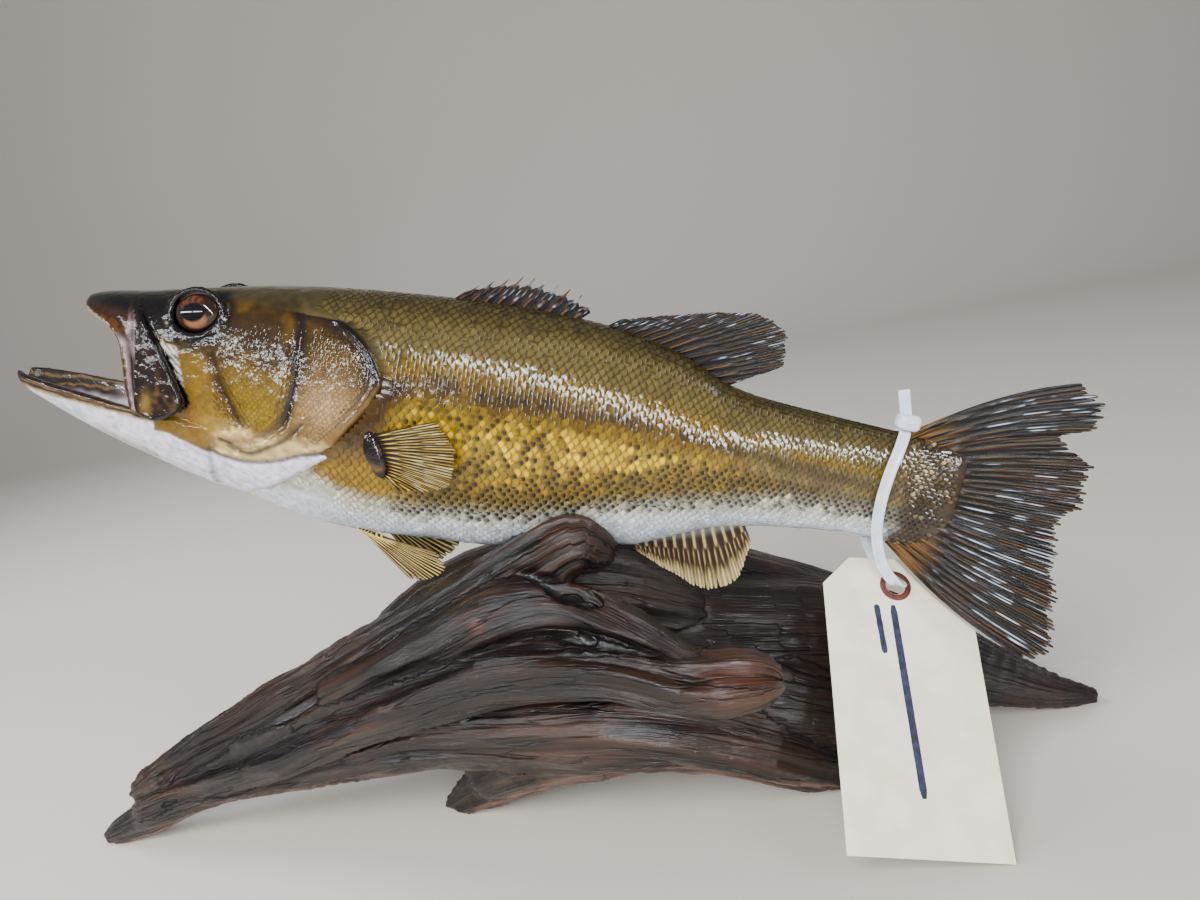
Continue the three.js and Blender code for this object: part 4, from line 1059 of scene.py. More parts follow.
def make_trunk_scales():
    roots, sizes = trunk_scales()
    x, z = roots[:, 0], roots[:, 2]
    cover = outline_distance(roots[:, [0, 2]], COVER)
    throat = outline_distance(roots[:, [0, 2]], THROAT)
    keep = np.where(z > 14, x > 119 - 0.3 * (back(x) - z), cover > 2.2)
    keep &= (throat > 2.2) | (z > -45)
    keep &= ~((z < -70) & (x < 124))
    keep &= x < 421 + 9 * noise(in_order(x / 3, 0, z), 3.0, 29) + 8 * bell(z, -14, 12)
    roots, sizes = roots[keep], sizes[keep]
    x, z, turn = roots[:, 0], roots[:, 2], sizes[:, 2]
    ups = trunk_ups(x, turn)
    ragged = ramp(x, 400, 412)
    drift = noise(roots, (7, 7, 5), 23)
    slant = ragged * (0.035 * (z + 14) + 0.35 * noise(roots, 2.2, 24))
    tails = in_order(1, 0, slant + 0.13 * noise(roots, 2.2, 25))
    low = ramp(-z, -white_z(x) - 2, -white_z(x) + 8)
    lifts = (1 + 0.35 * noise(roots, 2.4, 30)) * mix(0.66, 0.36, low)
    lifts = lifts * mix(0.85, 1.0, ramp(back(x) - z, 2, 14)) * mix(1, 1.7, ragged)
    base = body_colour(roots)
    speck = noise(roots, 3.0, 21)[:, None]
    above = ramp(z, band_z(x) - 3, band_z(x) + 6)
    heart = base * (1.28 - 0.3 * bell(z, band_z(x) - 1, 8)[:, None] + 0.45 * speck)
    flank = above * (1 - ramp(z, back(x) - 14, back(x) - 3))
    gold = bell(z, band_z(x) - 19, 12) * ramp(x, 160, 180) * (1 - low)
    heart = paint(
        heart,
        rgb(150, 130, 80), 0.42 * flank * ramp(drift, -0.8, 0.6),
        rgb(250, 212, 90), 0.35 * gold * ramp(speck[:, 0], 0.0, 0.5),
        rgb(214, 196, 150), 0.8 * ragged * ramp(noise(roots, 3.5, 26), 0.15, 0.6),
    )
    rim = base * mix(mix(0.86, 0.74, (1 - low) * (z < -20)), 0.42, np.clip(above, 0, 1))[:, None]
    rim = paint(rim, rgb(94, 66, 24), 0.5 * (1 - low) * (1 - above), rgb(44, 30, 16), 0.8 * ragged)
    dots = ramp(-z, -band_z(x) + 3, -band_z(x) + 12) * ramp(x, 156, 170)
    dots = dots * (1 - ramp(-z, -white_z(x) + 7, -white_z(x) + 12))
    some = noise(roots, 2.6, 22) + 0.9 * bell(z, white_z(x) + 1, 8) + 0.25 * bell(z, band_z(x), 9)
    some = ramp(some, -0.12, 0.3)
    dark = 0.95 * dots * some
    rear = x > 246
    for side, name in ((1, "left"), (-1, "right")):
        flip = np.array([1.0, side, 1.0])
        for part, end in ((~rear, "front"), (rear, "rear")):
            scale_coat(
                f"scales_{name}_{end}", roots[part] * flip, tails[part] * flip, ups[part] * flip,
                sizes[part, 0] * mix(1.62, 1.5, ragged[part]),
                sizes[part, 1] * mix(1.10, 0.62, ragged[part]),
                lifts[part], (rim[part], heart[part], dark[part]), 31, mirrored=side < 0,
            )


def make_cheek_scales():
    """Small scales on the cheek and the gill cover, found by looking at the skin from the side."""
    skin_tree = BVHTree.FromObject(skin, bpy.context.evaluated_depsgraph_get())
    pitch = 2.5
    i, j = np.meshgrid(np.arange(40), np.arange(40), indexing="ij")
    x, z = (70 + pitch * (i + 0.5 * (j % 2))).ravel(), (-50 + 1.55 * j).ravel()
    x = x + 0.5 * noise(in_order(x, z, 0), 1.7, 27)
    spot = in_order(x, z)
    cover = outline_distance(spot, COVER)
    seam, _ = line_distance(spot, SEAM)
    low, _ = line_distance(spot, LOW_LINE)
    ahead = (x < np.interp(z, [-50, -31, -11, 18], [95, 111, 114, 108])) & (x > 77) & (z < 2)
    keep = (cover < -4.5) & (seam > 3.2) & (low > 3) & (ahead | ((x > 118) & (z < 9))) & (z > -44)
    keep &= np.hypot(x - EYE[0], z - EYE[2]) > 19
    found = []
    for side in (-1, 1):
        for a, b in zip(x[keep], z[keep]):
            start = place([a, side * 60.0, b]) * MM
            start[1] = (SNOUT[1] + swing(a) + side * 60.0) * MM
            hit, normal, _, _ = skin_tree.ray_cast(Vector(start), Vector((0, -side, 0)))
            if hit is None:
                continue
            normal = np.array(normal)
            y = hit[1] / MM - SNOUT[1] - float(swing(a))
            found.append([a, y, b, normal @ TAILWARD, normal[1], normal @ BACKWARD, side])
    found = np.array(found)
    roots, ups, sides = found[:, :3], found[:, 3:6], found[:, 6]
    base = head_colour(roots)
    speck = noise(roots, 2.0, 28)[:, None]
    tails = np.broadcast_to([1.0, 0, -0.12], roots.shape)
    size = np.full(len(roots), pitch)
    for side, name in ((-1, "left"), (1, "right")):
        here = sides == side
        heart, rim = base[here] * (1.3 + 0.3 * speck[here]), base[here] * 0.62
        scale_coat(
            f"cheek_scales_{name}", roots[here], tails[here], ups[here],
            size[here] * 1.5, size[here] * 1.3, size[here] * 0.11,
            (rim, heart, 0 * size[here]), 33, along=5, across=5,
        )


make_trunk_scales()
make_cheek_scales()


# ---------------------------------------------------------------- fins
def fin_piece(name, rays, root, tip, thick, colour, bow=lambda u, s: 0.0, reach=lambda u: 0.98,
              branch=4, per=6, rows=60, ragged=0.05, splits=0.22, seed=1,
              thin=0.35, wave=0.5):
    """A fan of bony rays with a thin skin between them, split and frayed at the edge.

    root(u), tip(u) and bow(u, s) are in the fish frame; reach(u) is the share of the ray that
    is left; each ray branches into `branch` parts from about half its length."""
    parts = rays * branch
    columns = parts * per + 1
    u = np.linspace(0, 1, columns)
    which = np.minimum(np.floor(u * parts), parts - 1)
    local = u * parts - which
    ray = u * rays - np.minimum(np.floor(u * rays), rays - 1)
    border = np.round(u * parts)
    own = noise(in_order(which, 0, 0), 1.0, seed)
    cut = 0.5 + 0.5 * noise(in_order(border, 5, 0), 1.0, seed + 1)
    wide = noise(in_order(u * rays * 0.8, 0, 0), 1.0, seed + 2)
    end = reach(u) * (1 + ragged * (0.7 * own + 0.6 * wide))
    between = border % branch == 0
    deep = np.where(between, mix(0.06, splits, cut**2), mix(0.01, 0.45 * splits, cut**4))
    end = end * (1 - deep * np.abs(2 * local - 1) ** np.where(between, 3.5, 6))
    U, S = np.meshgrid(u, np.linspace(0, 1, rows), indexing="ij")
    along = S * end[:, None]
    spot = mix(root(U), tip(U), along[..., None]) + bow(U, along)

    def ridges(share, width):
        return bell(2 * share[:, None] - 1, 0, width) + 0 * along

    ridge = mix(ridges(ray, 0.42), ridges((2 * ray) % 1, 0.45), ramp(along, 0.25, 0.45))
    ridge = mix(ridge, ridges(local, 0.5), ramp(along, 0.5, 0.75))
    ridge = ridge * mix(0.15, 1.0, ridges(ray, 0.85))
    rough = noise(in_order(U * parts * 1.1, along * 16, 3), 1.0, seed + 3)
    half = thick(along) * mix(thin, 1.0, ridge) / 2 * (1 + 0.15 * rough)
    side = np.cross(np.gradient(spot, axis=0), np.gradient(spot, axis=1))
    side /= np.maximum(1e-9, np.linalg.norm(side, axis=-1, keepdims=True))
    sway = wave * noise(in_order(U * rays * 0.7, along * 1.6, 0), 1.0, seed + 4) * along
    sway = sway + wave * 0.5 * own[:, None] * ramp(along, 0.6, 1.0)
    spot = spot + side * sway[..., None]
    front, rear = spot + side * half[..., None], spot - side * half[..., None]
    count = columns * rows
    faces = grid_faces(columns, rows)
    # the rims that join the two faces, as pairs of rows of points
    near, first = np.arange(columns) * rows, np.arange(rows)
    far, last = near + rows - 1, first + (columns - 1) * rows
    rims = [
        np.stack([a, b, b + count, a + count], 1)
        for a, b in (
            (far[:-1], far[1:]), (near[1:], near[:-1]), (first[1:], first[:-1]),
            (last[:-1], last[1:])
        )
    ]
    streak = noise(in_order(U * parts * 1.6, along * 7, 7), 1.0, seed + 5)
    streak = streak + 0.5 * noise(in_order(U * rays * 1.3, along * 3, 9), 1.0, seed + 6)
    tint = colour(U, along, ridge, streak, spot).reshape(-1, 3)
    points = np.concatenate([front.reshape(-1, 3), rear.reshape(-1, 3)])
    faces = [faces[:, ::-1], faces + count, *rims]
    piece = mesh_object(name, place(points), faces, np.vstack([tint, tint]))
    return finish_piece(piece, fin_finish, (name,))


def dark_fin_colour(u, s, ridge, streak, spot, painted_glints=0.95, start=0.15, rays=13):
    """Brown-black rays, with bluish-white varnish glints painted into their colour as highlights
    from `start` of their length.
    """
    glint = ramp(streak + 0.6 * noise(spot, (22, 9, 9), 42) + 0.25 * ramp(s, 0.35, 0.8), 0.2, 0.38)
    glint = glint * ramp(noise(spot, (5, 1.8, 1.8), 47), -0.45, 0.15) * ramp(ridge, 0.45, 0.8)
    return paint(
        plain(rgb(11, 8, 7), spot),
        rgb(96, 70, 36), 0.75 * ramp(ridge, 0.3, 0.9) * ramp(-streak, -0.6, 0.5),
        rgb(60, 34, 20), 0.5 * ramp(noise(spot, (14, 6, 6), 43), 0.0, 0.7),
        rgb(6, 5, 6), 0.9 * (1 - ridge) ** 2,
        rgb(5, 4, 5), 0.85 * ramp(np.abs(2 * (u * rays % 1) - 1), 0.7, 0.95),
        # painted highlights: bluish-white varnish glints along the ridges, painted into the colour
        rgb(206, 218, 238), painted_glints * glint * ramp(s, start, start + 0.35),
    )


def spiny_colour(u, s, ridge, streak, spot):
    return dark_fin_colour(u, s, ridge, streak, spot, 0.3, 0.0, 10)


def anal_colour(u, s, ridge, streak, spot):
    patch = ramp(noise(spot, (16, 9, 12), 44) + 0.3 * noise(spot, 4, 45), -0.1, 0.4)
    patch = patch * bell(s, 0.45, 0.3)
    return paint(
        plain(rgb(84, 62, 38), spot),
        rgb(28, 18, 12), 0.85 * (1 - ridge) ** 1.3,
        rgb(46, 32, 22), 0.6 * patch,
        rgb(190, 168, 118), 0.85 * ramp(ridge, 0.4, 0.85) * mix(1, 0.5, patch),
        rgb(222, 204, 142), 0.8 * ramp(s + 0.1 * streak, 0.6, 0.9) * mix(0.35, 1, ridge),
        rgb(206, 206, 190), 0.7 * ramp(-s, -0.2, -0.03) * mix(0.4, 1, ridge),
    )


def tail_colour(u, s, ridge, streak, spot):
    root = ramp(-s, -0.34, -0.10) * ramp(-streak, -0.6, 0.3)
    tint = dark_fin_colour(u, s, ridge, streak, spot, 0.97, 0.2, 17)
    return paint(tint, rgb(120, 86, 36), 0.7 * root)


def yellow_fin(u, s, ridge, streak, spot):
    return paint(
        plain(rgb(88, 66, 26), spot),
        rgb(20, 13, 7), 0.92 * (1 - ridge) ** 1.2,
        rgb(196, 166, 74), 0.95 * ramp(ridge, 0.35, 0.85),
        rgb(232, 220, 168), 0.6 * ramp(streak, 0.1, 0.6) * ridge * ramp(s, 0.2, 0.6),
    )


def pectoral_colour(u, s, ridge, streak, spot):
    return paint(yellow_fin(u, s, ridge, streak, spot), BLACK, 0.97 * ramp(-s, -0.27, -0.16))


def pelvic_colour(u, s, ridge, streak, spot):
    return paint(
        yellow_fin(u, s, ridge, streak, spot),
        rgb(236, 212, 136), 0.6 * ramp(ridge, 0.3, 0.8),
        rgb(60, 40, 20), 0.8 * bell(u, 0.16, 0.035) + 0.5 * bell(u, 0.33, 0.02),
        rgb(84, 56, 24), 0.6 * ramp(0.07 - u, 0, 0.05) + 0.6 * ramp(u, 0.93, 0.98),
    )


def seated(start, end, height, sink):
    """The root of a fin that stands on the line of the back or the belly."""
    return lambda u: in_order(mix(start, end, u), 0, height(mix(start, end, u)) + sink)


def edge_line(x, z, y=((0, 0), (1, 0)), side=1):
    """A line of points by u, from knots (u, value) for each of x, y and z."""
    x, y, z = through(*x), through(*y), through(*z)
    return lambda u: in_order(x(u), side * y(u), z(u))


fin_piece(
    "dorsal_fin_spiny", 10, seated(177, 241, back, -1.5),
    edge_line([(0, 186), (0.25, 204), (0.6, 226), (1, 249)],
              [(0, 39), (0.2, 46), (0.5, 50.5), (0.75, 48), (1, 41)]),
    lambda s: mix(1.9, 0.7, s), spiny_colour,
    reach=lambda u: 0.70 + 0.30 * bell(u * 10 % 1, 0.5, 0.09),
    branch=1, per=24, ragged=0.08, splits=0.25, seed=51, thin=0.25,
)
fin_piece(
    "dorsal_fin_soft", 13, seated(254, 318, back, -1.5),
    edge_line([(0, 262), (0.2, 292), (0.45, 322), (0.7, 342), (0.88, 342), (1, 326)],
              [(0, 38.5), (0.2, 47), (0.45, 53.4), (0.7, 45), (0.88, 33), (1, 21.5)]),
    lambda s: mix(1.6, 0.6, s), dark_fin_colour, seed=52,
)
fin_piece(
    "anal_fin", 12, seated(288, 341, belly, 1.5),
    edge_line([(0, 292), (0.3, 311), (0.6, 332), (0.8, 345), (1, 347)],
              [(0, -77), (0.3, -84), (0.6, -89), (0.8, -78), (1, -58)]),
    lambda s: mix(1.7, 0.6, s), anal_colour, seed=53, ragged=0.03, branch=3,
)

TAIL_TIP_Z = [(0, 53.5), (0.5, -12), (1, -73)]
TAIL_ROOT_Z = (11.6, -41)


def tail_root(u):
    inset = 10 * (2 * u - 1) ** 2 * np.where(u > 0.5, 0.3, 0.8)
    return in_order(STALK_END - 2 - inset, 0, mix(*TAIL_ROOT_Z, u))


def tail_bow(u, s):
    """The lower lobe twists away from the flat of the fin."""
    z = mix(mix(*TAIL_ROOT_Z, u), through(*TAIL_TIP_Z)(u), s)
    lean = np.where(z < FORK_Z, LOBE_TWIST * (z - FORK_Z) * s, 0)
    return in_order(0 * s, lean, 9 * (0.5 - u) * np.sin(math.pi * s))


fin_piece(
    "tail_fin", 17, tail_root,
    edge_line([(0, 468), (0.07, 476), (0.15, 476), (0.2, 466), (0.27, 481), (0.4, 482), (0.5, 475),
               (0.63, 475), (0.76, 479), (0.94, 478.5), (1, 469)], TAIL_TIP_Z),
    lambda s: 0.9 + 6.0 * np.exp(-9 * s), tail_colour, bow=tail_bow, reach=lambda u: 0.985,
    seed=54, branch=5, rows=80, ragged=0.045, splits=0.5, wave=1.0,
)
for side, name in ((-1, "left"), (1, "right")):
    fin_piece(
        f"pectoral_fin_{name}", 12,
        edge_line([(0, 151.5), (1, 161.5)], [(0, -37), (1, -55)], [(0, 31.8), (1, 29.6)], side),
        edge_line([(0, 187), (0.25, 196), (0.6, 198), (0.85, 189), (1, 173)],
                  [(0, -20), (0.25, -30), (0.6, -48.5), (0.85, -54.5), (1, -57.5)],
                  [(0, 43), (1, 41)], side),
        lambda s: 0.9 + 4.4 * (1 - s) ** 6, pectoral_colour,
        branch=3, seed=55, thin=0.3, ragged=0.04,
    )
    fin_piece(
        f"pelvic_fin_{name}", 7,
        edge_line([(0, 147.5), (1, 160)], [(0, -91), (1, -93.2)], [(0, 12), (1, 14)], side),
        edge_line([(0, 179), (0.3, 191), (0.7, 197), (1, 191)],
                  [(0, -117), (0.3, -112), (0.7, -100), (1, -90)], [(0, 9), (0.5, 17),
                   (1, 27)], side),
        lambda s: 0.9 + 2.4 * (1 - s) ** 4, pelvic_colour,
        branch=2, per=9, seed=56, thin=0.2, ragged=0.05, splits=0.3,
    )


def pectoral_pads():
    """The dark fleshy pad at the root of each pectoral fin."""
    rings, columns = 14, 40
    turn = np.arange(columns) / columns * 2 * math.pi
    v, t = np.meshgrid(np.linspace(0, math.pi, rings), turn, indexing="ij")
    lean = np.array([[0.9, 0, 0.43], [0, 1, 0], [-0.43, 0, 0.9]])
    for side, name in ((-1, "left"), (1, "right")):
        ball = in_order(4.8 * np.sin(v) * np.cos(t), 2.2 * np.sin(v) * np.sin(t), 11.5 * np.cos(v))
        ball = ball * (1 + 0.2 * turbulence(ball, 4.5, 57, 2))[..., None]
        points = (ball @ lean + [157.5, side * 32.2, -45.5]).reshape(-1, 3)
        pad = mesh_object(
            f"pectoral_pad_{name}", place(points), grid_faces(rings, columns, closed=True),
            paint(
                plain(rgb(14, 10, 9), points),
                rgb(92, 64, 32), ramp(turbulence(points, 4.5, 58, 2), 0.0, 0.5),
            ),
        )
        finish_piece(pad, skin_finish)


pectoral_pads()


# ---------------------------------------------------------------- eyes
DOME = 5.2  # how far the glass stands out over its rim


def iris_colour(x, z):
    """A brown iris with a lens-shaped pupil; x runs along the eye and z up it."""
    far = np.hypot(x, z)
    streak = noise(in_order(np.arctan2(z, x) * 9, far * 0.6, 0), 1.0, 61)
    rings = 0.5 * bell(far, 5.2, 0.8) * ramp(-z, -4, 4)
    rings = rings + 0.4 * bell(far, 6.4, 0.8) * ramp(-z, 1.5, 4)
    dark = np.maximum(ramp(far, 7.4, 8.2), ramp(np.abs(x) + 0.2 * streak, 4.9, 6.6))
    pupil = np.abs(z) / 4.5 + (x / 7.4) ** 2
    return paint(
        np.tile(rgb(88, 50, 26), (len(far), 1)),
        rgb(46, 26, 15), ramp(streak + 0.4 * ramp(z, 0, 4), -0.1, 0.7),
        rgb(150, 94, 50), rings,
        rgb(30, 17, 11), 0.95 * dark,
        rgb(58, 36, 22), 0.6 * bell(far, 9.4, 0.7) * ramp(x, -3, 3),
        rgb(5, 5, 6), 1 - ramp(pupil, 0.9, 1.06),
    )


def eye_piece(side, name):
    """A glass eye: a clear dome over a painted iris."""
    rings, columns = 30, 72
    r = np.append(np.linspace(0.02, 1, rings - 1), 1.0)
    dome = DOME * np.sqrt(np.clip(1 - r**2, 0, 1))
    dome[-1] = -3.2
    turn = np.arange(columns) / columns * 2 * math.pi
    R, T = np.meshgrid(r * EYE_RADIUS, turn, indexing="ij")
    out = EYE_OUT * [1, -side, 1]
    forward = unit(np.cross(out, [0, 0, 1.0]))
    forward = -forward if forward[0] > 0 else forward
    above = np.cross(forward, out)
    above = -above if above[2] < 0 else above
    c, d = math.cos(NOSE_UP), math.sin(NOSE_UP)
    level, upright = c * forward - d * above, d * forward + c * above
    centre = np.array([EYE[0], side * EYE_DEPTH, EYE[2]])
    x, z = EYE_LONG * R * np.cos(T), R * np.sin(T)
    shell = centre + x[..., None] * level + z[..., None] * upright + dome[:, None, None] * out
    points = np.vstack([shell.reshape(-1, 3), centre + DOME * out])
    first = np.arange(columns)
    cap = np.stack([first, np.roll(first, -1), np.full(columns, rings * columns)], 1)
    tint = np.vstack([iris_colour(x.ravel(), z.ravel()), BLACK])
    faces = [grid_faces(rings, columns, closed=True), cap]
    piece = mesh_object(f"eye_{name}", place(points), faces, tint)
    if side > 0:
        piece.data.flip_normals()
    return piece


glass, glass_tree, glass_shader = node_tree("eye_glass")
glass_colour = add(glass_tree, "Attribute", attribute_name="tint").outputs["Color"]
dress(
    glass_tree, glass_shader, Base_Color=glass_colour, Roughness=0.5, Specular_IOR_Level=0.05,
    Coat_Weight=1.0, Coat_Roughness=0.01,
)
for side, name in ((-1, "left"), (1, "right")):
    finish_piece(eye_piece(side, name), glass, (f"eye_{name}",))


# ---------------------------------------------------------------- driftwood
# Limbs in the carving's own frame: x, y, z and the half width and half height there.
LIMBS = {
    "log": [
        (-331, 2, 22, 6, 9), (-300, 2, 34, 13, 16), (-260, 4, 44, 22, 23), (-212, 6, 55, 30, 32),
        (-162, 8, 66, 38, 41), (-110, 10, 72, 44, 50), (-58, 12, 70, 48, 52), (-8, 14, 58, 48, 44),
        (42, 15, 50, 44, 40), (86, 16, 42, 36, 34), (122, 13, 31, 25, 26), (156, 7, 18, 16, 15),
        (184, 1, 8, 9, 8), (203, -1, 3, 3, 4),
    ],
    "crest": [
        (-328, -3, 30, 7, 8), (-279, -8, 54, 9, 10), (-215, -14, 80, 12, 13),
        (-150, -18, 106, 15, 14),
        (-104, -22, 124, 17, 16), (-70, -28, 140, 16, 16), (-52, -29, 147, 13, 13),
        (-41, -28, 140, 8, 10),
    ],
    "brow": [
        (-328, -5, 22, 8, 8), (-261, -18, 43, 11, 12), (-190, -34, 70, 13, 13),
        (-134, -48, 87, 13, 15),
        (-85, -60, 97, 14, 13), (-42, -68, 95, 14, 13), (-10, -73, 85, 14, 13),
        (14, -75, 83, 13, 13),
        (24, -75, 82, 9, 10), (28, -75, 81, 4, 5),
    ],
    "fold": [(-188, -28, 84, 10, 11), (-130, -42, 108, 13, 12), (-92, -46, 122, 14, 13),
             (-62, -49, 123, 12, 11),
             (-38, -56, 114, 10, 8), (-18, -65, 103, 7, 6), (-6, -70, 96, 4, 4)],
    "skirt": [
        (-277, -14, 32, 9, 9), (-207, -22, 44, 12, 12), (-140, -34, 56, 15, 17),
        (-86, -44, 56, 18, 19),
        (-36, -48, 52, 19, 20), (12, -46, 34, 18, 17), (54, -40, 9, 12, 11), (66, -37, 3, 6, 6),
    ],
    "toe": [(-146, -17, 2, 5, 5), (-126, -23, 14, 8, 12), (-84, -35, 31, 11, 15),
            (-36, -45, 42, 10, 14)],
    "web": [(-124, -29, 26, 6, 14), (-98, -40, 42, 9, 19), (-62, -47, 48, 9, 20)],
    "finger": [(-286, -6, 27, 11, 10), (-322, -5, 15, 8.5, 8), (-350, -3, 5, 6, 6),
               (-358, -3, 2.4, 3.5, 4)],
    "ridge": [
        (-206, 38, 60, 8, 10), (-176, 46, 80, 14, 16), (-124, 50, 96, 19, 26),
        (-60, 48, 98, 23, 28),
        (0, 40, 86, 24, 25), (52, 35, 72, 20, 20), (92, 28, 54, 15, 18), (118, 20, 40, 9, 10),
    ],
    "root": [(-30, -18, 50, 26, 30), (20, -24, 44, 26, 28), (60, -24, 30, 22, 22),
             (104, -8, 12, 12, 12)],
    "neck": [(-70, -18, 118, 18, 20), (-40, -14, 108, 18, 18), (-8, -6, 92, 16, 14)],
    "rear_foot": [(-112, 50, 62, 20, 22), (-134, 62, 30, 17, 18), (-148, 68, 3, 13, 9)],
    "heel": [(36, 44, 42, 20, 22), (66, 54, 20, 17, 15), (86, 60, 3, 12, 7)],
}
# Hollows: lines of points with a radius, and how soft their rims are.
HOLLOWS = [
    (2.6, [(-80, -43, 140, 0.8), (-70, -46, 135, 4.5), (-58, -50, 129, 6.5), (-46, -54, 123, 5.5),
           (-36, -58, 117, 1.0)]),
    (2.5, [(-97, -62, 112, 1.5), (-77, -65, 113, 5.0), (-58, -66, 112, 6.0), (-40, -70, 108, 5.0),
           (-22, -74, 102, 2)]),
    (4.0, [(-312, -13, 41, 3), (-285, -21, 47, 5), (-255, -28, 56, 6.5), (-210, -42, 72, 8),
           (-177, -49, 86, 7.5), (-147, -53, 97, 6.5), (-119, -58, 105, 5), (-100, -60, 109, 3)]),
    (2.5, [(-95, -78, 90, 1.5), (-80, -80, 86, 5), (-57, -82, 79, 7), (-31, -82, 72, 7.5),
           (-11, -74, 60, 7), (8, -68, 46, 5)]),
    (2.0, [(-140, -56, 62, 1), (-120, -60, 68, 2.5), (-98, -66, 74, 3), (-84, -70, 76, 1)]),
    (1.5, [(-150, -44, 38, 4), (-128, -50, 40, 5), (-116, -50, 44, 1)]),
    (4.0, [(-30, -34, 146, 2), (-33, -44, 134, 4.5), (-26, -52, 122, 3)]),
]
SWELLS = [
    (6.0, (-53, -29, 146), 13.5), (4.0, (-29, -4, 112), 9.5),
    (2.5, (-101, -55, 121), 3.0), (5.0, (6, -80, 84), 11.0),
]


def limb_near(points, knots):
    """For points in order of x: distance from a limb, how far along it, and where round it."""
    knots = np.asarray(knots, float)
    fine = spline(knots[:, :3], 4)
    share, at = np.linspace(0, 1, len(fine)), np.linspace(0, 1, len(knots))
    breadth, height = (through(*zip(at, knots[:, k]))(share) for k in (3, 4))
    length = np.concatenate([[0], np.cumsum(np.linalg.norm(np.diff(fine, axis=0), axis=1))])
    typical = knots[:, 3:].mean()
    best = np.full(len(points), 60.0)
    grain = np.zeros((len(points), 3))
    for i in range(len(fine) - 1):
        a, d = fine[i], fine[i + 1] - fine[i]
        pad = max(breadth[i : i + 2].max(), height[i : i + 2].max()) + 13
        low, high = np.minimum(a, a + d) - pad, np.maximum(a, a + d) + pad
        start, stop = np.searchsorted(points[:, 0], [low[0], high[0]])
        block = points[start:stop, 1:]
        here = start + np.flatnonzero(((block > low[1:]) & (block < high[1:])).all(axis=1))
        if not len(here):
            continue
        run = np.linalg.norm(d)
        ahead = d / run
        aside = np.cross(ahead, [0, 0, 1.0])
        aside /= np.linalg.norm(aside)
        above = np.cross(aside, ahead)
        away = points[here] - a
        t = np.clip(away @ ahead / run, 0, 1)
        off = away - (t * run)[:, None] * ahead
        b, h = mix(breadth[i], breadth[i + 1], t), mix(height[i], height[i + 1], t)
        pa, pb, pc = off @ aside, off @ above, off @ ahead
        small = np.minimum(b, h)
        r = np.sqrt((pa / b) ** 2 + (pb / h) ** 2 + (pc / small) ** 2)
        rho = np.sqrt(pa**2 + pb**2 + pc**2)
        gap = np.where(r > 1e-3, rho * (1 - 1 / np.maximum(r, 1e-3)), -small)
        closer = gap < best[here]
        spot = here[closer]
        best[spot] = gap[closer]
        turn = typical / np.maximum(1e-3, np.hypot(pa, pb))
        grain[spot] = in_order(length[i] + t * run, pa * turn, pb * turn)[closer]
    return best, grain


def chain_gap(points, chain):
    chain = np.asarray(chain, float)
    gap, along = line_distance(points, spline(chain[:, :3], 5))
    return gap - through(*zip(np.linspace(0, 1, len(chain)), chain[:, 3]))(along)


def wood_field(unsorted):
    """Distance from the driftwood, the grain there, and how deep in a hollow or cleft it is."""
    order = np.argsort(unsorted[:, 0], kind="stable")
    points = unsorted[order]
    total = np.full(len(points), 60.0)
    nearest = np.full(len(points), 1e9)
    grain = np.zeros((len(points), 3))
    cleft = np.full(len(points), 30.0)
    for k, (name, knots) in enumerate(LIMBS.items()):
        gap, place_ = limb_near(points, knots)
        near = np.flatnonzero(gap < 14)
        if not len(near):
            continue
        place_ = place_[near] + [500.0 * k, 0, 0]
        wander = 4.0 * noise(points[near], 34, 69)[:, None]
        wide = noise(place_ / [95, 10, 10] + wander / 26, 1.0, 70)
        middle = noise(place_ / [55, 4.6, 4.6] + wander / 20, 1.0, 71)
        flute = 2.3 * (1 - 2 * np.abs(wide)) + 1.7 * (1 - 2 * np.abs(middle))
        smooth = name in ("log", "ridge", "neck", "rear_foot", "heel")
        gap = gap[near] - (flute - 0.6) * (0.7 if smooth else 1.0)
        blend = 3.0 if name == "brow" else 5.5
        apart = np.abs(total[near] - gap) + np.maximum(0, np.minimum(total[near], gap))
        cleft[near] = np.minimum(cleft[near], apart)
        total[near] = smooth_union(total[near], gap, blend)
        closer = gap < nearest[near]
        spot = near[closer]
        nearest[spot] = gap[closer]
        grain[spot] = place_[closer]
    for soft, centre, radius in SWELLS:
        away = np.linalg.norm(points - centre, axis=1) - radius
        near = away < 20
        total[near] = smooth_union(total[near], away[near], soft)
    hollow = np.full(len(points), 30.0)
    for soft, chain in HOLLOWS:
        corner = np.asarray(chain)[:, :3]
        inside = (points > corner.min(0) - 16) & (points < corner.max(0) + 16)
        near = np.flatnonzero(inside.all(axis=1))
        if len(near):
            away = chain_gap(points[near], chain)
            away = away + 0.8 * noise(points[near], 5, 72)
            total[near] = smooth_cut(total[near], away, soft)
            hollow[near] = np.minimum(hollow[near], away)
    back_again = np.empty_like(order)
    back_again[order] = np.arange(len(order))
    return total[back_again], grain[back_again], hollow[back_again], cleft[back_again]


def finer(field, times):
    """A field on a grid with `times` as many steps, by straight lines between its points."""
    for axis in range(3):
        n = field.shape[axis]
        t = np.arange((n - 1) * times + 1) / times
        i = np.minimum(t.astype(int), n - 2)
        share = (t - i).reshape([-1 if k == axis else 1 for k in range(3)]).astype(np.float32)
        field = np.take(field, i, axis) * (1 - share) + np.take(field, i + 1, axis) * share
    return field


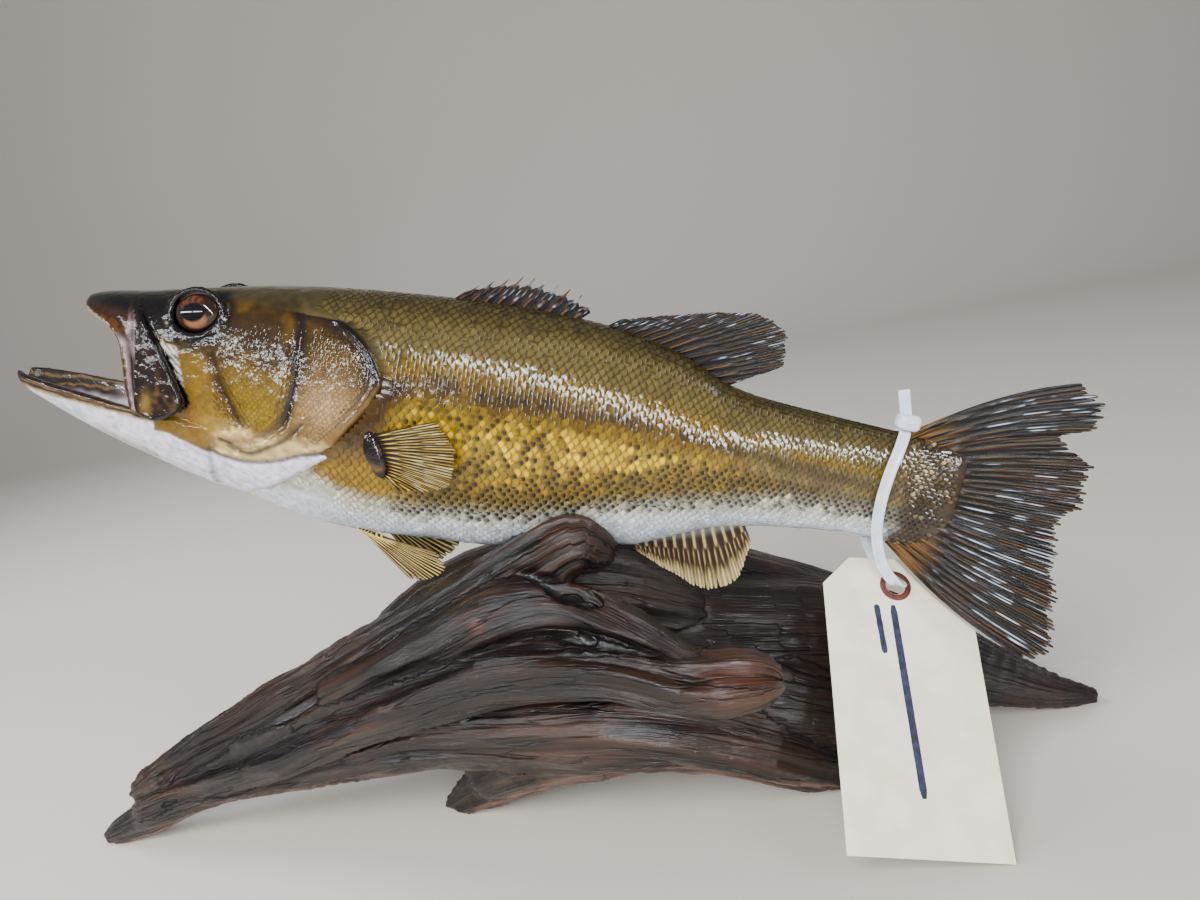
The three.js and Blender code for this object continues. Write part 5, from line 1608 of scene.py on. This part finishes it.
def make_wood(step, times=4):
    low = np.array([-366.0, -96.0, -4.0])
    size = np.array([578.0, 184.0, 172.0])
    count = np.ceil(size / (step * times)).astype(int) + 1
    cells = np.stack(np.meshgrid(*(np.arange(n) for n in count), indexing="ij"), -1)
    coarse = low + step * times * cells.reshape(-1, 3)
    field = finer(wood_field(coarse)[0].reshape(count).astype(np.float32), times)
    near = np.argwhere(np.abs(field) < 2.1 * step * times)
    points = low + step * near
    exact = wood_field(points)[0]
    local = points + SHIFT - SNOUT
    x, z = local @ TAILWARD, local @ BACKWARD
    fish = np.flatnonzero((x > 90) & (x < 330))
    body = body_field(x[fish], local[fish, 1] - swing(x[fish]), z[fish]) - 0.4
    exact[fish] = np.maximum(exact[fish], -body)
    exact = np.maximum(exact, -points[:, 2])
    field[tuple(near.T)] = exact
    far = (np.arange(field.shape[2]) * step + low[2]) < 0
    field[:, :, far] = np.maximum(field[:, :, far], 3.0)
    return surface(field, low, step)


def wood_colour(points, out, hollow, cleft, lines, thin_lines):
    """Dark varnished wood, warmer where it bulges and on its cut end, with a small knot, and
    painted shade in its hollows and in the clefts between its limbs.
    """
    z = points[:, 2]

    def blob(middle, size):
        return bell(np.linalg.norm((points - middle) / size, axis=1), 0, 1)

    warm = turbulence(points, 45, 77) + 0.35 * lines + 0.25 * out[:, 2]
    dark = -lines - 0.5 * thin_lines + 0.5 * turbulence(points, 30, 78)
    knot = np.linalg.norm(points - [-101, -56, 121], axis=1)
    return paint(
        plain(rgb(25, 15, 12), points),
        rgb(54, 31, 20), ramp(warm, -0.05, 0.75),
        rgb(11, 8, 8), ramp(dark, 0.05, 0.8),
        rgb(92, 52, 34), 0.75 * blob([16, -78, 84], [20, 18, 16]),
        rgb(78, 52, 36), 0.65 * blob([-66, -60, 58], [52, 30, 18]) * ramp(lines, -0.5, 0.3),
        rgb(120, 62, 28), 0.75 * ramp(-out[:, 2], 0.25, 0.8) * ramp(-z, -46, -30),
        # painted shade: near black inside the hollows
        rgb(12, 8, 9), 0.92 * ramp(-hollow, -1.2, 1.0) * (out[:, 1] < 0.5),
        # painted shade: darker in the clefts where the limbs meet
        rgb(16, 10, 10), 0.7 * bell(cleft, 0, 2.2),
        rgb(24, 14, 12), 0.85 * bell(knot, 5.4, 1.5),
        rgb(120, 66, 48), 0.7 * bell(knot, 0, 3.2),
    )


def wood_material():
    """Varnished wood whose grain and thin cracks run along the piece's `grain`."""
    material, tree, shader = node_tree("driftwood")
    grain = add(tree, "Attribute", attribute_name="grain").outputs["Vector"]

    def along_grain(scale, **settings):
        stretched = add(tree, "Mapping", grain, Scale=scale).outputs["Vector"]
        return add(tree, "TexNoise", Vector=stretched, Scale=1.0, **settings).outputs["Fac"]

    lines = along_grain((0.022, 0.62, 0.62), Detail=5.0, Roughness=0.6)
    light = add(tree, "MapRange", lines, From_Min=0.3, From_Max=0.7, To_Min=0.35, To_Max=1.35)
    # a crack lies where a second noise crosses its middle
    middle = along_grain((0.014, 0.2, 0.2), Detail=2.0, Distortion=0.4)
    middle = add(tree, "Math", middle, 0.5, operation="SUBTRACT").outputs["Value"]
    gap = add(tree, "Math", middle, operation="ABSOLUTE").outputs["Value"]
    whole = add(tree, "MapRange", gap, From_Max=0.03, To_Min=0.3).outputs["Result"]
    colour = shaded(tree, light.outputs["Result"])
    colour = add(tree, "VectorMath", colour, operation="SCALE", Scale=whole)
    dent = add(tree, "Bump", Height=whole, Strength=1.0, Distance=0.0008).outputs["Normal"]
    dent = add(tree, "Bump", Height=lines, Strength=1.0, Distance=0.001, Normal=dent)
    dent = dent.outputs["Normal"]
    dress(
        tree, shader, Base_Color=colour.outputs["Vector"], Roughness=0.55, Specular_IOR_Level=0.15,
        Coat_Weight=0.9, Coat_Roughness=0.2, Normal=dent, Coat_Normal=dent,
    )
    return material


def wood_piece():
    points, faces = make_wood(WOOD_STEP)
    _, grain, hollow, cleft = wood_field(points)
    out = point_normals(points, faces)
    wander = noise(points, 22, 69)[:, None] * 0.6
    lines = turbulence(grain / [40, 2.6, 2.6] + wander, 1.0, 75, 2)
    thin_lines = noise(grain / [26, 1.5, 1.5] + wander, 1.0, 79)
    relief = (0.55 * lines + 0.25 * thin_lines) * ramp(points[:, 2], 0.2, 3)
    points = points + out * relief[:, None]
    tint = wood_colour(points, out, hollow, cleft, lines, thin_lines)
    wood = mesh_object("driftwood_grained", points + SHIFT, faces, tint, grain)
    finish_piece(wood, wood_material(), ("driftwood",))


wood_piece()


# ---------------------------------------------------------------- tie and tag
def plain_finish(name, low, high, roughness, size, bump, subsurface=0.0, coat=0.0):
    """A nearly even surface: two close colours in soft clouds, and a fine grain."""
    material, tree, shader = node_tree(name)
    place_on = add(tree, "TexCoord").outputs["Object"]
    clouds = add(tree, "TexNoise", Vector=place_on, Scale=size, Detail=5.0)
    colours = add(tree, "ValToRGB", clouds.outputs["Fac"])
    for stop, position, colour in zip(colours.color_ramp.elements, (0.35, 0.65), (low, high)):
        stop.position, stop.color = position, (*colour, 1)
    grain = add(tree, "TexNoise", Vector=place_on, Scale=1800.0, Detail=2.0).outputs["Fac"]
    dent = add(tree, "Bump", Height=grain, Strength=1.0, Distance=bump).outputs["Normal"]
    dress(
        tree, shader, Base_Color=colours.outputs["Color"], Roughness=roughness, Coat_Weight=coat,
        Subsurface_Weight=subsurface, Subsurface_Radius=(0.004, 0.004, 0.005),
        Normal=dent, Coat_Normal=dent,
    )
    return material


card_finish = plain_finish("tag_card", rgb(236, 230, 200), rgb(248, 244, 222), 0.7, 60, 0.00003)
nylon_finish = plain_finish(
    "tie_nylon", rgb(208, 218, 232), rgb(232, 238, 246), 0.3, 120, 0.00002, subsurface=0.5, coat=0.3
)
ink_finish = plain_finish("tag_ink", rgb(22, 26, 50), rgb(44, 50, 84), 0.45, 300, 0.00002)
eyelet_finish = plain_finish("tag_eyelet", rgb(84, 34, 28), rgb(112, 54, 42), 0.6, 200, 0.00004)
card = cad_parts["tag"].data.materials
card.clear()
card.append(card_finish)

STRAP_LINE = [
    (402, 0, 13.8), (399.5, 8.4, 8), (397, 11.6, -6), (396.5, 12.6, -22), (399, 12.2, -37),
    (405.5, 10.6, -50), (414.5, 6.6, -58),
]
STRAP_LOW = (419, -0.6, -59)
# half of the strap's section: across it and out of it; its middle is toothed
STRAP_SECTION = [
    (2.7, 0.25), (2.45, 0.6), (1.7, 0.6), (1.5, 0.42), (-1.5, 0.42), (-1.7, 0.6), (-2.45, 0.6),
    (-2.7, 0.25), (-2.7, -0.25), (-2.45, -0.6), (2.45, -0.6), (2.7, -0.25),
]
TOOTH = 0.16


def make_strap(steps=22):
    """The tie's closed strap with its teeth."""
    near = [(x, -y, z) for x, y, z in STRAP_LINE[:0:-1]]
    knots = place(np.array([*STRAP_LINE, STRAP_LOW, *near], float))
    line = spline(np.vstack([knots[-2:], knots, knots[:2]]), steps)
    line = line[2 * steps : (2 + len(knots)) * steps]
    n, k = len(line), len(STRAP_SECTION)
    ahead = unit(np.roll(line, -1, 0) - np.roll(line, 1, 0))
    out = unit(np.cross(TAILWARD, ahead))
    wide = np.cross(ahead, out)
    across, height = np.array(STRAP_SECTION).T
    height = height + TOOTH * (np.arange(n) % 2)[:, None] * (np.abs(across) == 1.5)
    points = line[:, None] + across[:, None] * wide[:, None] + height[..., None] * out[:, None]
    a = np.arange(n * k).reshape(n, k)
    b = np.roll(a, -1, 0)
    faces = np.stack([a, np.roll(a, -1, 1), np.roll(b, -1, 1), b], -1).reshape(-1, 4)
    strap = mesh_object("tie_strap_ridged", points.reshape(-1, 3), faces)
    finish_piece(strap, nylon_finish, ("tie_strap",))


def round_block(size, corner, middle):
    """Points and faces of a box with well rounded edges."""
    n = 12
    half = np.asarray(size, float) / 2
    u, v = np.meshgrid(np.linspace(-1, 1, n), np.linspace(-1, 1, n), indexing="ij")
    points, faces = [], []
    for axis in range(3):
        for side in (-1, 1):
            p = np.zeros((n, n, 3))
            p[..., axis] = side
            p[..., (axis + 1) % 3], p[..., (axis + 2) % 3] = u, v
            p *= half
            inner = np.clip(p, corner - half, half - corner)
            p = inner + unit(p - inner) * corner
            faces.append(grid_faces(n, n, flip=side > 0) + len(points) * n * n)
            points.append(p.reshape(-1, 3) + middle)
    return np.vstack(points), np.vstack(faces)


def make_lock():
    """The tie's lock on the back of the fish, a rim across it, and its cut tail."""
    turn = np.stack([TAILWARD, [0, 1.0, 0], BACKWARD])
    spot = place(np.array([402, -1.5, 13.8 + 0.9]))
    block, block_faces = round_block((11, 8.5, 7.5), 2.6, [0, 0, 3.75])
    rim, rim_faces = round_block((6.6, 9.2, 3.4), 1.2, [0, 0, 4.0])
    tail, tail_faces = round_block((5.4, 1.3, 14), 0.5, [0, 0, 7])
    c, d = math.cos(0.35), math.sin(0.35)
    tail = tail @ np.array([[c, 0, d], [0, 1, 0], [-d, 0, c]]) + [-1.2, 0, 5.0]
    points = np.vstack([block, rim, tail])
    faces = [block_faces, rim_faces + len(block), tail_faces + len(block) + len(rim)]
    lock = mesh_object("tie_lock", spot + points @ turn, np.vstack(faces))
    finish_piece(lock, nylon_finish, ("tie_head",))


LEAN = math.radians(43)
CARD_LEFT = np.array([46.9, -110, 15.6]) + SHIFT
CARD_RIGHT = unit(np.array([116.1, -110, 0.6]) + SHIFT - CARD_LEFT)
CARD_UP = unit(np.cross(CARD_RIGHT, [0, 1.0, 0])) * math.cos(LEAN) + [0, math.sin(LEAN), 0]
CARD_OUT = np.cross(CARD_RIGHT, CARD_UP)
HOLE = np.array([35.5, 122.0])


def on_card(points, lift=0.64):
    p = np.asarray(points, float)
    return CARD_LEFT + p[..., :1] * CARD_RIGHT + p[..., 1:2] * CARD_UP + lift * CARD_OUT


def card_piece(name, points, faces, finish):
    piece = mesh_object(name, points, faces)
    if piece.data.polygons[len(faces) // 2].normal @ Vector(CARD_OUT) < 0:
        piece.data.flip_normals()
    finish_piece(piece, finish)


def pen_lines(lines):
    """Broad straight pen lines on the card, each a width and two ends, with edges that waver."""
    points, faces = [], []
    t = np.linspace(0, 1, 24)
    for k, (width, start, end) in enumerate(lines):
        line = np.linspace(start, end, 24)
        side = unit(line[-1] - line[0])[::-1] * [-1, 1]
        half = width / 2 * (1 + 0.12 * noise(in_order(t * 9, start[0], 0), 1.0, 81))
        half = half * np.sqrt(np.clip(np.minimum(t, 1 - t) * 30 + 0.3, 0, 1))
        rows = np.stack([line + side * half[:, None], line - side * half[:, None]], 1)
        points.append(rows.reshape(-1, 2))
        faces.append(grid_faces(24, 2) + 48 * k)
    card_piece("tag_rule", on_card(np.vstack(points)), np.vstack(faces), ink_finish)


def make_eyelet():
    turn = np.arange(48) / 48 * 2 * math.pi
    circle = np.stack([np.cos(turn), np.sin(turn)], -1)
    section = ((4.65, 0.2), (4.8, 0.95), (5.6, 1.1), (7.4, 0.95), (7.6, 0.61))
    rows = [on_card(HOLE + radius * circle, lift) for radius, lift in section]
    card_piece("tag_eyelet", np.vstack(rows), grid_faces(5, 48, closed=True), eyelet_finish)


make_strap()
make_lock()
pen_lines([(3.4, (33, 112), (36, 24)), (2.8, (25, 112), (26.5, 88))])
make_eyelet()


# ---------------------------------------------------------------- floor and light
def backdrop():
    """A pale floor that curves up into a wall."""
    turns = np.linspace(0, math.pi / 2, 24)
    bend = [(1.6 + 0.8 * math.sin(t), 0.8 - 0.8 * math.cos(t)) for t in turns]
    profile = [(-3.0, 0.0), *bend, (2.4, 4.0)]
    n = len(profile)
    mesh = bpy.data.meshes.new("floor")
    mesh.from_pydata(
        [(x, y, z) for x in (-5.0, 5.0) for y, z in profile], [],
        [(i, i + 1, n + i + 1, n + i) for i in range(n - 1)],
    )
    mesh.polygons.foreach_set("use_smooth", [True] * len(mesh.polygons))
    material, tree, shader = node_tree("floor_paint")
    dress(tree, shader, Base_Color=(0.64, 0.6, 0.54, 1), Roughness=0.7)
    mesh.materials.append(material)
    in_scene("floor", mesh)


def new_lamp(name, size, power, colour):
    light = bpy.data.lights.new(name, "AREA")
    light.shape = "RECTANGLE"
    light.size, light.size_y = size
    light.energy, light.color = power, colour
    return in_scene(name, light)


def broad_lamp(name, where, target, size, power, colour, mirrored):
    """A soft lamp; most light the model without showing in its varnish."""
    lamp = new_lamp(name, size, power, colour)
    lamp.location = where
    lamp.visible_glossy = mirrored
    lamp.rotation_euler = (Vector(target) - Vector(where)).to_track_quat("-Z", "Y").to_euler()


def tube_lamp(name, start, end, width, power, colour):
    """A long narrow lamp between two points, facing the fish, for the line of glare along it."""
    start, end = Vector(start), Vector(end)
    lamp = new_lamp(name, ((end - start).length, width), power, colour)
    middle, ahead = (start + end) / 2, (end - start).normalized()
    away = middle - Vector((0.07, 0, 0.2))
    away = (away - away.dot(ahead) * ahead).normalized()
    turn = Matrix((ahead, away.cross(ahead), away)).transposed().to_4x4()
    lamp.matrix_world = Matrix.Translation(middle) @ turn


backdrop()
tube_lamp("tube", (-0.26, -1.27, 1.12), (0.46, -1.50, 0.12), 0.055, 20, (0.92, 0.96, 1.0))
tube_lamp("strip", (-1.19, -0.34, 0.60), (-0.43, -1.28, 0.56), 0.05, 8, (0.94, 0.97, 1.0))
broad_lamp("key", (-0.7, -1.3, 1.7), (0, 0, 0.15), (0.9, 0.9), 36, (1, 0.97, 0.92), False)
broad_lamp("window", (-0.9, 0.5, 1.3), (0, -0.05, 0.1), (0.7, 0.5), 16, (0.82, 0.9, 1.0), False)
broad_lamp("right", (1.3, -0.8, 1.0), (0, 0, 0.15), (0.6, 0.6), 7, (1, 0.96, 0.92), True)
world = bpy.data.worlds.new("studio")
world.use_nodes = True
dress(world.node_tree, world.node_tree.nodes["Background"], Color=(0.86, 0.9, 1.0, 1), Strength=0.3)
bpy.context.scene.world = world
